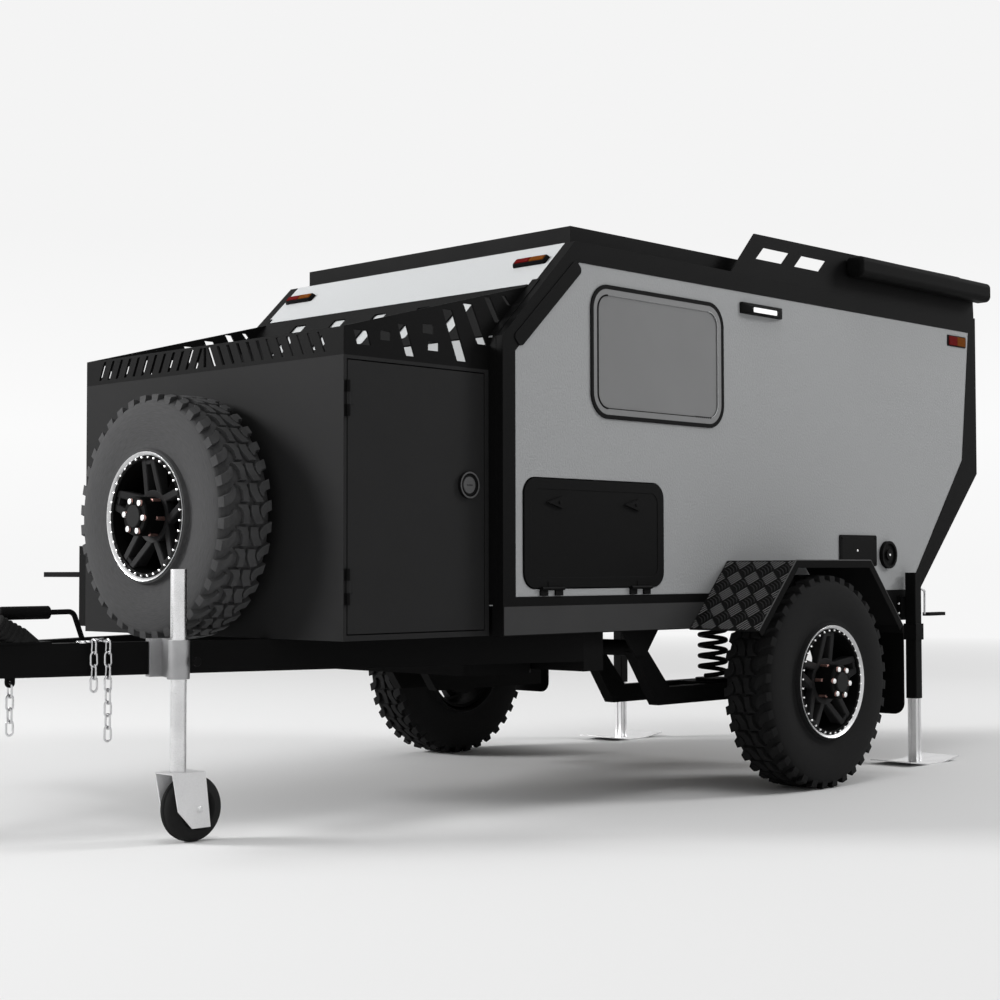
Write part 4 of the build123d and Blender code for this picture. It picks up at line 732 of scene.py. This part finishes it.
def make_chains():
    """Round-wire links beside the CAD chains, with the loose links that the photograph shows on the rail."""
    high = corners("safety_chains")[1]
    links = Shape()
    x_axis, y_axis, z_axis = Vector((1, 0, 0)), Vector((0, 1, 0)), Vector((0, 0, 1))
    rail_x, near_x = station(LONG_STRAND_X), station(SHORT_STRAND_X)
    rail_y = high.y - (LINK_WIDTH / 2 - 8) * MM
    near_y = rail_y - (near_x - rail_x) * RAIL_SLOPE
    top_z = high.z - LINK_LENGTH / 2 * MM
    flat_z = RAIL_TOP + LINK_WIRE / 2 * MM
    front_z = FRONT_STRAND_TOP - (LINK_LENGTH - LINK_WIRE) / 2 * MM
    add_link(links, Vector((rail_x, rail_y - LINK_PITCH / 2 * MM, flat_z)), y_axis, x_axis)
    strands = [(LONG_STRAND_LINKS, rail_x, rail_y, top_z), (SHORT_STRAND_LINKS, near_x, near_y, top_z)]
    strands += [(4, station(FRONT_STRAND_X), side * FRONT_STRAND_Y, front_z) for side in (1, -1)]
    for count, x, y, top in strands:
        for number in range(count):
            across = x_axis if number % 2 else y_axis
            add_link(links, Vector((x, y, top - number * LINK_PITCH * MM)), z_axis, across)
    for x, y, turn, under in LOOSE_LINKS:
        direction = Vector((math.cos(math.radians(turn)), math.sin(math.radians(turn)), 0))
        centre = Vector((station(x), near_y + (y - 12) * MM, flat_z + under * LINK_WIRE * MM))
        add_link(links, centre, direction, direction.cross(z_axis))
    links.build("round_chain_links", "chain", replaces=("safety_chains",))


# ---- lamps ----
PANEL_FACE = CABIN_SIDE / MM
MARKER_X, MARKER_Z = (-1517, -1365), (1756, 1804)
FLOOD_X, FLOOD_Z = (-132, 129), (1747, 1789)
MARKER_STANDOUT = 14
FLOOD_DEPTH = 0.7 * 34
FLOOD_LENS = (19, 152)
FRONT_MARKER_Y, FRONT_MARKER_Z = 606, 1832
FRONT_MARKER_SIZE = (36, 150)
SLOPE_FOOT, SLOPE_TOP = (1402, 1548), (1050, 1896)
# Tail lamp: distance from the middle, lowest and highest point.
TAIL_LAMP = (723, 1330, 1560)
TAIL_WIDTH = 34
TAIL_CELLS = ((1330, 1375, "lamp_clear"), (1378, 1440, "lamp_amber"), (1443, 1560, "lamp_red"))
LENS_PROUD = 2.5


def middle_and_length(span):
    return sum(span) / 2, span[1] - span[0]


def side_place(x, z, side, proud=0.0):
    """Frame on the cabin's side plane: local x up, local z outward."""
    return facing((station(x), side * (PANEL_FACE + proud) * MM, z * MM), (0, side, 0))


def lens_block(name, material, size, place, low, high, corner=4.0, body="trailer", chamfer=2.0):
    """Rounded lens or plate of a size (up, across) between two heights above its frame."""
    shape = Shape()
    shape.prism(rounded_outline(*size, corner), low, high, place, chamfer)
    return shape.build(name, material, body)


def frame_ring(shape, outer, inner, radii, low, high, place):
    """Flat ring between two rounded rectangles of size (up, across)."""
    outside = rounded_outline(*outer, radii[0], steps=10)
    inside = rounded_outline(*inner, radii[1], steps=10)
    rings = []
    for outline, height in ((outside, low), (outside, high), (inside, high), (inside, low)):
        rings.append([(x * MM, y * MM, height * MM) for x, y in outline])
    shape.rings(rings, place, caps=False)


def slope_marker_place(side):
    """Frame of a marker lamp on the pale front slope."""
    run, rise = SLOPE_FOOT[0] - SLOPE_TOP[0], SLOPE_TOP[1] - SLOPE_FOOT[1]
    share = (FRONT_MARKER_Z - SLOPE_FOOT[1]) / rise
    origin = (station(SLOPE_FOOT[0] - share * run), side * FRONT_MARKER_Y * MM, FRONT_MARKER_Z * MM)
    return facing(origin, (rise, 0, run), Vector((-run, 0, rise)))


def housing(shape, place, base, front, depth, lean=0.0):
    """Lamp body that narrows from its base to its front; sizes are (up, across)."""
    rings = []
    for (height, width), level, drop in ((base, -1, 0), (base, 0.35 * depth, 0), (front, depth, lean)):
        outline = rounded_outline(height, width, 5, steps=4)
        rings.append([((x + drop) * MM, y * MM, level * MM) for x, y in outline])
    shape.rings(rings, place)


def make_lamps():
    bodies = Shape()
    (marker_x, marker_length), (marker_z, marker_height) = middle_and_length(MARKER_X), middle_and_length(MARKER_Z)
    (flood_x, flood_length), (flood_z, flood_height) = middle_and_length(FLOOD_X), middle_and_length(FLOOD_Z)
    tail_y, *tail_span = TAIL_LAMP
    tail_z, tail_height = middle_and_length(tail_span)
    height, width = FRONT_MARKER_SIZE
    rear = corners("lamps")[0].x
    for side in (-1, 1):
        marker, flood = (marker_height, marker_length), (flood_height, flood_length)
        housing(bodies, side_place(marker_x, marker_z, side), marker, (marker[0] - 4, marker[1] - 4), 5)
        housing(bodies, side_place(flood_x, flood_z, side), flood, (29, 196), FLOOD_DEPTH, -5)
        tail = (tail_height, TAIL_WIDTH)
        housing(bodies, facing((rear + 0.009, side * tail_y * MM, tail_z * MM), (-1, 0, 0)), tail, tail, 9)
        housing(bodies, slope_marker_place(side), (height, width), (height - 6, width - 8), MARKER_STANDOUT)
    bodies.build("lamp_bodies", "plastic", replaces=("lamps",))
    for side, name in SIDES:
        half = marker_length / 2 - 8
        for part, material, shift in (("front", "lamp_red", 1), ("rear", "lamp_amber", -1)):
            place = side_place(marker_x + shift * (half / 2 + 0.5), marker_z, side)
            lens_block(f"side_marker_{part}_{name}", material, (marker_height - 8, half + 3), place, 0, 7.5)
        place = side_place(flood_x, flood_z - 5, side)
        lens_block(f"flood_lens_{name}", "lamp_clear", FLOOD_LENS, place, 0, FLOOD_DEPTH + 1, corner=5)
        tail = facing((rear, side * tail_y * MM, 0), (-1, 0, 0))
        for low, high, material in TAIL_CELLS:
            seat = tail @ Matrix.Translation(((low + high) / 2 * MM, 0, 0))
            lens_block(f"tail_{material}_{name}", material, (high - low - 4, 28), seat, -4, LENS_PROUD, corner=3)
    for side, name in SIDES:
        half = width / 2 - 8
        for part, material, shift in (("red", "lamp_red", 1), ("amber", "lamp_amber", -1)):
            seat = slope_marker_place(side) @ Matrix.Translation((0, shift * (half / 2 + 0.5) * MM, 0))
            reach = MARKER_STANDOUT + LENS_PROUD
            lens_block(f"front_marker_{part}_{name}", material, (height - 13, half), seat, 0, reach)


# ---- window lines, plate, socket and latches ----
WINDOW_CENTRE = (604, 1537.5)
WINDOW_SIZE = (459, 740)
WINDOW_CORNER = 88
BORDER_OUTSET = 14
BORDER_INSET = 36
BORDER_TOP = 3.0
BOTTOM_LINE_END = -195
DASHES, DASH_START, DASH_STEP = 8, 205, 12
BAG_LATCH_Z, BAG_LATCH_STATIONS = 1017, (759, 1153)
ROUND_LATCHES = (("box_door", (1499, 683, 1065), (0, 1, 0), 7),
                 ("entry_door", (540, -PANEL_FACE, 1200), (0, -1, 0), 7))
HATCH_KEY_Y, HATCH_KEY_Z = 0.560, 1.310
BAG_KEY_SHIFT, BAG_KEY_PROUD = 12, 12
PLATE_PANEL, PLATE_MIDDLE, BRIGHT_SCREW = (104, 245), (-650.5, 868), (-640, 868)
FRAME_SCREW_Y, FRAME_SCREW_HEIGHTS = 0.715, (1310, 1500, 1690)
SERVICE_PLATE = ((-783, -518), (806, 930))
SOCKET = (-866, 852)


def key_slot(name, place, body, radius=7.0, material="zinc"):
    """Round lock barrel with a key slot."""
    barrel = Shape()
    profile = ((radius, -1), (radius, 2), (radius - 1, 3), (1, 3))
    barrel.lathe(profile, 28, place)
    barrel.build(name + "_barrel", material, body)
    Shape().prism(rounded_outline(radius, 1.6, 0.7, 3), 2.4, 3.3, place).build(name + "_slot", "gasket", body)


def make_window():
    """Border of the pane, and lines along its inner edge: a thick dark front edge, a dark bottom line of painted
    shade, a bright top and rear of painted highlight, dashes below.
    """
    place = side_place(*WINDOW_CENTRE, 1)
    inner = (WINDOW_SIZE[0] - 2 * BORDER_INSET, WINDOW_SIZE[1] - 2 * BORDER_INSET)
    outer = (WINDOW_SIZE[0] - 2 * BORDER_OUTSET - 1, WINDOW_SIZE[1] - 2 * BORDER_OUTSET - 1)
    border = Shape()
    corner_out, corner_in = WINDOW_CORNER - BORDER_OUTSET, WINDOW_CORNER - BORDER_INSET
    frame_ring(border, outer, inner, (corner_out, corner_in), BORDER_TOP - 1, BORDER_TOP + 0.8, place)
    border.build("window_pane_border", "pane_border")

    def edge_line(shape, points, radius):
        height = (BORDER_TOP + 0.6) * MM
        shape.tube([place @ Vector((x * MM, y * MM, height)) for x, y in points], radius, 8)

    line, glint = Shape(), Shape()
    points = rounded_outline(*inner, corner_in, 10)
    bottom = -inner[0] / 2
    straight = inner[1] / 2 - corner_in
    front_edge = [p for p in points if p[1] > straight - 1]
    edge_line(line, sorted(front_edge, key=lambda p: math.atan2(p[0], p[1] - straight)), 3.2)
    # Painted shade: a thin dark line along the bottom of the pane's edge.
    edge_line(line, [(bottom, y) for y in (straight, BOTTOM_LINE_END)], 1.5)
    others = [p for p in points if p[1] < straight and p[0] > bottom + 2]
    # Painted highlight: a pale line along the top and rear of the pane's edge.
    edge_line(glint, sorted(others, key=lambda p: -math.atan2(p[1], p[0])), 1.1)
    glint.build("window_painted_highlight", "white")
    for number in range(DASHES):
        seat = side_place(WINDOW_CENTRE[0] - DASH_START - DASH_STEP * number, WINDOW_CENTRE[1] + bottom, 1)
        line.prism(rounded_outline(6, 5, 1, 2), 0, BORDER_TOP + 1.6, seat)
    line.build("window_inner_line", "gasket")


def make_latches():
    for number, x in enumerate(BAG_LATCH_STATIONS):
        place = side_place(x - BAG_KEY_SHIFT, BAG_LATCH_Z, 1, BAG_KEY_PROUD)
        key_slot(f"bag_latch_key_{number + 1}", place, "baggage_door", 6, "plastic")
    for body, (x, y, z), outward, standout in ROUND_LATCHES:
        place = facing((station(x), (y + outward[1] * standout) * MM, z * MM), outward)
        well = Shape()
        well.lathe(((43, -6), (43, 4.5), (42.4, 5)), 64, place)
        well.lathe(((37, 5), (36.5, 4.5), (36.5, 0.4), (0.1, 0.4)), 64, place)
        well.build(f"{body}_latch_well", "gasket", body)
        ring = Shape()
        ring.lathe(((42.6, 4.4), (42, 6), (37.6, 6), (37, 4.4)), 64, place)
        ring.lathe(((27, -1), (27, 1.6), (25.5, 2.8), (0.1, 2.8)), 56, place)
        ring.build(f"{body}_latch_ring", "latch_grey", body)
        Shape().prism(rounded_outline(2.4, 26, 1.1, 3), 2.2, 3.4, place).build(f"{body}_latch_slot", "gasket", body)
    for side, name in reversed(SIDES):
        place = facing((corners("rear_hatch")[0].x + 0.001, side * HATCH_KEY_Y, HATCH_KEY_Z), (-1, 0, 0))
        key_slot(f"hatch_key_{name}", place @ Matrix.Translation((0, 0, -0.004)), "rear_hatch")


def screw_heads(name, material, spots, radius):
    """Button heads with a hexagonal recess; spots are frames whose local z points out of the surface."""
    heads = Shape()
    for place in spots:
        dome = ((radius, 0), (radius, 0.25 * radius), (0.75 * radius, 0.6 * radius), (0.42 * radius, 0.68 * radius))
        heads.lathe(dome, 16, place)
        recess = ((0.42 * radius, 0.68 * radius), (0.42 * radius, 0.3 * radius), (0.01, 0.3 * radius))
        heads.lathe(recess, 6, place)
    heads.build(name, material)


def make_fittings():
    spots = [side_place(x, z, 1, 6) for x in (SERVICE_PLATE[0][0] + 13, SERVICE_PLATE[0][1] - 13)
             for z in (SERVICE_PLATE[1][0] + 13, SERVICE_PLATE[1][1] - 13)]
    screw_heads("service_plate_screws", "plastic", spots, 4.5)
    screw_heads("service_plate_bright_screw", "bolt_white", [side_place(*BRIGHT_SCREW, 1, 6)], 5)
    screw_heads("socket_mark", "bolt_white", [side_place(*SOCKET, 1, 15.2)], 5)
    plate = Shape().prism(rounded_outline(*PLATE_PANEL, 6), 5, 7, side_place(*PLATE_MIDDLE, 1), 1)
    plate.build("service_plate_panel", "plastic")
    rear = corners("rear_slope_panel")[0].x
    spots = [facing((rear, side * FRAME_SCREW_Y, z * MM), (-1, 0, 0)) for side in (-1, 1) for z in FRAME_SCREW_HEIGHTS]
    screw_heads("rear_frame_screws", "zinc", spots, 4)


# ---- springs, legs and jockey wheel ----
COIL_X, COIL_Y = 90, 580
COIL_RADIUS, COIL_WIRE, COIL_TURNS, COIL_STEPS = 49, 8.5, 4.5, 40
LEG_X, LEG_Y, LEG_HALF = -993, 789, 20
LEG_LOW, LEG_TOP = 5, 385
GROOVE_HALF, GROOVE_DEPTH = 5, 3.4
FOOT_PROFILE = ((-185, 16), (-55, 0), (55, 0), (185, 16), (185, 21), (55, 5), (-55, 5), (-185, 21))
FOOT_HALF = 95
HANDLE_ROUTE = ((-1018, 718), (-1060, 709), (-1078, 704), (-1083, 696), (-1081, 606))
HANDLE_WIRE = 4.6
LEG_BOLT_Y, LEG_BOLT_HEIGHTS = 0.754, (651, 612)


def make_springs():
    low, high, _ = corners("coil_springs")
    coils = Shape()
    for side in (-1, 1):
        path = []
        steps = int(COIL_TURNS * COIL_STEPS)
        bottom, top = low.z + COIL_WIRE * MM, high.z - COIL_WIRE * MM
        for i in range(steps + 1):
            turn = 2 * math.pi * COIL_TURNS * i / steps
            aside = side * (COIL_Y * MM + COIL_RADIUS * MM * math.sin(turn))
            height = bottom + (top - bottom) * i / steps
            path.append((station(COIL_X) + COIL_RADIUS * MM * math.cos(turn), aside, height))
        coils.tube(path, COIL_WIRE, 14)
    coils.build("round_coil_springs", "spring", replaces=("coil_springs",))


def leg_outline():
    """Square tube outline with a groove down the middle of each face."""
    face = ((LEG_HALF, -LEG_HALF + 2), (LEG_HALF, -GROOVE_HALF), (LEG_HALF - GROOVE_DEPTH, -GROOVE_HALF + 1),
            (LEG_HALF - GROOVE_DEPTH, GROOVE_HALF - 1), (LEG_HALF, GROOVE_HALF), (LEG_HALF, LEG_HALF - 2),
            (LEG_HALF - 2, LEG_HALF))
    outline = []
    for quarter in range(4):
        c, s = math.cos(quarter * math.pi / 2), math.sin(quarter * math.pi / 2)
        outline += [((x * c - y * s) * MM, (x * s + y * c) * MM) for x, y in face]
    return outline


def make_legs():
    bolts = []
    for side, name in SIDES:
        leg = Shape()
        base = Matrix.Translation((station(LEG_X), side * LEG_Y * MM, 0))
        leg.rings([[(x, y, z * MM) for x, y in leg_outline()] for z in (LEG_LOW, LEG_TOP)], base)
        rings = [[(x * MM, y * MM, z * MM) for x, z in FOOT_PROFILE] for y in (-FOOT_HALF, FOOT_HALF)]
        leg.rings(rings, base)
        leg.build(f"grooved_leg_{name}", "leg", f"stabiliser_{name}", replaces=(f"leg_{name}",))
        handle = Shape().tube([(station(x), side * LEG_Y * MM, z * MM) for x, z in HANDLE_ROUTE], HANDLE_WIRE, 12)
        handle.build(f"leg_handle_wire_{name}", "chain")
        for z in LEG_BOLT_HEIGHTS:
            bolts.append(facing((station(LEG_X + 55), side * LEG_BOLT_Y, z * MM), (1, 0, 0)))
    screw_heads("leg_bracket_bolts", "bolt_white", bolts, 5)


def make_jockey():
    low, high, centre = corners("jockey_wheel")
    radius, half = (high.z - low.z) / 2 / MM, (high.y - low.y) / 2 / MM
    place = facing((centre.x, centre.y, centre.z), (0, 1, 0))
    wheel = Shape()
    side = ((9.5, half - 14), (9.5, half - 5), (24, half - 5), (26, half - 13), (52, half - 13), (58, half - 3),
            (62, half), (70, half - 1), (82, half - 4), (91, half - 10), (96, half - 18), (radius, half - 27),
            (radius, half - 31), (radius - 1.6, half - 32), (radius - 1.6, half - 33), (radius, half - 34))
    profile = list(side) + [(r, -h) for r, h in reversed(side)]
    wheel.lathe(profile, 96, place)
    wheel.build("jockey_moulded_wheel", "rubber", "jockey_roller", replaces=("jockey_wheel",))
    pin = Shape()
    fork_low, fork_high, _ = corners("jockey_fork")
    for outward, y in ((1, fork_high.y), (-1, fork_low.y)):
        seat = facing((centre.x, y, centre.z), (0, outward, 0))
        pin.lathe(((11, -1), (11, 0.8), (9, 1), (0.1, 1)), 24, seat)
        pin.lathe(((8, 0), (8, 5), (6.5, 6), (0.1, 6)), 6, seat)
    pin.build("jockey_pin_nuts", "zinc", "jockey_swivel_fork")
    _, clamp_high, clamp_centre = corners("jockey_clamp")
    seat = facing((clamp_centre.x, clamp_high.y - 0.004, clamp_centre.z - 0.006), (0, 1, 0))
    knob = Shape().lathe(((5, 0), (5, 7), (13, 9), (14, 11), (14, 18), (12, 20), (0.1, 20)), 24, seat)
    knob.build("jockey_clamp_knob", "plastic")


# ---- sill faces in their lighter grey, and dark corner trims ----
SILL_X, SILL_Z = (-500, 1398), (586, 677)
CABIN_HALF = 0.746
TRIM_Y, TRIM_WIDTH = 0.700, 34
TRIM_Z = (683, 1545)
# Station and height of the slope trim's middle, and its length.
SLOPE_TRIM, SLOPE_TRIM_LENGTH = (1296, 1654), 292


def make_corner_trims():
    """Dark strips that cover the pale front panel's edges beside the box and on the lower slope."""
    trims = Shape()
    z, length = middle_and_length(TRIM_Z)
    for side in (-1, 1):
        upright = facing((station(SLOPE_FOOT[0]), side * TRIM_Y, z * MM), (1, 0, 0))
        slope_origin = (station(SLOPE_TRIM[0]), side * TRIM_Y, SLOPE_TRIM[1] * MM)
        slope = facing(slope_origin, (1, 0, 1), Vector((-1, 0, 1)))
        for place, long in ((upright, length), (slope, SLOPE_TRIM_LENGTH)):
            trims.prism(rounded_outline(long, TRIM_WIDTH, 1, 2), -1, 1.2, place, 0.5)
    trims.build("front_corner_trims", "frame")


def make_sill_faces():
    faces = Shape()
    (x, length), (z, height) = middle_and_length(SILL_X), middle_and_length(SILL_Z)
    for side in (-1, 1):
        place = facing((station(x), side * CABIN_HALF, z * MM), (0, side, 0))
        faces.prism(rounded_outline(height, length, 3, 3), -1, 0.8, place, 0.5)
    faces.build("sill_faces", "sill")


make_wheels()
make_chequer()
make_chains()
make_lamps()
make_window()
make_latches()
make_fittings()
make_springs()
make_legs()
make_jockey()
make_corner_trims()
make_sill_faces()


# ---- studio: floor, light and camera ----
FLOOR_HALF = 60
FLOOR_COLOR = (0.82, 0.82, 0.82)
FAR_COLOR = (0.925, 0.925, 0.925)
FADE_START = 7.5
FADE_END = 15.0


def seen_directly(tree):
    """One for camera, glossy and transmission rays, which see the white studio, and nought for diffuse ones."""
    path = tree.nodes.new("ShaderNodeLightPath")
    total = path.outputs["Is Camera Ray"]
    for name in ("Is Glossy Ray", "Is Transmission Ray"):
        either = tree.nodes.new("ShaderNodeMath")
        either.operation = "MAXIMUM"
        tree.links.new(total, either.inputs[0])
        tree.links.new(path.outputs[name], either.inputs[1])
        total = either.outputs["Value"]
    return total


def plain_floor():
    """Pale floor that keeps the shadow near the trailer and fades to the backdrop's white far away."""
    mesh = bpy.data.meshes.new("studio_floor")
    square = [(x * FLOOR_HALF, y * FLOOR_HALF, 0) for x, y in ((-1, -1), (1, -1), (1, 1), (-1, 1))]
    mesh.from_pydata(square, [], [(0, 1, 2, 3)])
    floor = bpy.data.objects.new("studio_floor", mesh)
    bpy.context.scene.collection.objects.link(floor)
    g = Graph("studio_floor")
    near = g.add("ShaderNodeBsdfDiffuse", {"Color": (*FLOOR_COLOR, 1)})
    far = g.add("ShaderNodeEmission", {"Color": (*FAR_COLOR, 1)})
    distance = g.add("ShaderNodeVectorMath", operation="LENGTH")
    g.link(g.place(), distance.inputs[0])
    blend = g.add("ShaderNodeMixShader")
    shown = g.add("ShaderNodeMath", operation="MULTIPLY")
    g.link(g.spread(distance.outputs["Value"], 0, 1, FADE_START, FADE_END), shown.inputs[0])
    g.link(seen_directly(g.tree), shown.inputs[1])
    g.link(shown.outputs["Value"], blend.inputs["Fac"])
    g.link(near.outputs["BSDF"], blend.inputs[1])
    g.link(far.outputs["Emission"], blend.inputs[2])
    g.link(blend.outputs["Shader"], g.output.inputs["Surface"])
    mesh.materials.append(g.material)


WORLD_LIGHT = 0.53
BACKDROP_LOW = 0.965
BACKDROP_HIGH = 0.905


def studio_world():
    """Dim even light on the object, and a near-white backdrop for the camera, metal and glass."""
    world = bpy.data.worlds.new("studio")
    world.use_nodes = True
    tree = world.node_tree
    tree.nodes.clear()
    add, link = tree.nodes.new, tree.links.new
    direction = add("ShaderNodeTexCoord")
    height = add("ShaderNodeSeparateXYZ")
    link(direction.outputs["Generated"], height.inputs["Vector"])
    ramp = add("ShaderNodeValToRGB")
    ramp.color_ramp.elements[0].position = 0.0
    ramp.color_ramp.elements[0].color = (*FAR_COLOR, 1)
    ramp.color_ramp.elements[1].position = 0.18
    ramp.color_ramp.elements[1].color = (BACKDROP_HIGH,) * 3 + (1,)
    bright = ramp.color_ramp.elements.new(0.075)
    bright.color = (BACKDROP_LOW,) * 3 + (1,)
    link(height.outputs["Z"], ramp.inputs["Fac"])
    shown = add("ShaderNodeBackground")
    link(ramp.outputs["Color"], shown.inputs["Color"])
    dim = add("ShaderNodeBackground")
    dim.inputs["Strength"].default_value = WORLD_LIGHT
    blend = add("ShaderNodeMixShader")
    link(seen_directly(tree), blend.inputs["Fac"])
    link(dim.outputs["Background"], blend.inputs[1])
    link(shown.outputs["Background"], blend.inputs[2])
    output = add("ShaderNodeOutputWorld")
    link(blend.outputs["Shader"], output.inputs["Surface"])
    bpy.context.scene.world = world


LIGHT_DISTANCE = 16.0
LIGHT_TARGET = Vector((0.2, 0, 0.8))
# Softboxes: name, azimuth and elevation in degrees, width, height, brightness on a facing surface.
SOFTBOXES = (
    ("front_softbox", -42, 21, 4.5, 4.0, 0.88),
    ("rear_softbox", 145, 28, 4.0, 4.0, 0.34),
    ("top_softbox", 60, 75, 6.0, 6.0, 0.18),
)


def softbox(name, azimuth, elevation, width, height, level):
    light = bpy.data.lights.new(name, "AREA")
    light.shape = "RECTANGLE"
    light.size = width
    light.size_y = height
    light.energy = level * (math.pi * LIGHT_DISTANCE) ** 2
    lamp = bpy.data.objects.new(name, light)
    bpy.context.scene.collection.objects.link(lamp)
    a, e = math.radians(azimuth), math.radians(elevation)
    away = Vector((math.cos(e) * math.cos(a), math.cos(e) * math.sin(a), math.sin(e)))
    lamp.location = LIGHT_TARGET + LIGHT_DISTANCE * away
    lamp.rotation_euler = (-away).to_track_quat("-Z", "Y").to_euler()


CAMERA_PLACE = (4.7702, 4.7393, 0.8021)
CAMERA_YAW = 223.99
CAMERA_PITCH = 2.151
CAMERA_ROLL = -0.115
CAMERA_LENS = 64.95


def studio_camera():
    camera = bpy.data.cameras.new("camera")
    camera.lens = CAMERA_LENS
    camera.sensor_width = 36
    camera.clip_end = 200
    holder = bpy.data.objects.new("camera", camera)
    bpy.context.scene.collection.objects.link(holder)
    holder.location = CAMERA_PLACE
    yaw, pitch, roll = (math.radians(v) for v in (CAMERA_YAW, CAMERA_PITCH, CAMERA_ROLL))
    look = Matrix.Rotation(yaw - math.pi / 2, 4, "Z") @ Matrix.Rotation(math.pi / 2 + pitch, 4, "X")
    holder.rotation_euler = (look @ Matrix.Rotation(roll, 4, "Z")).to_euler()
    bpy.context.scene.camera = holder


plain_floor()
studio_world()
for row in SOFTBOXES:
    softbox(*row)
studio_camera()
bpy.context.scene.view_settings.view_transform = "Standard"
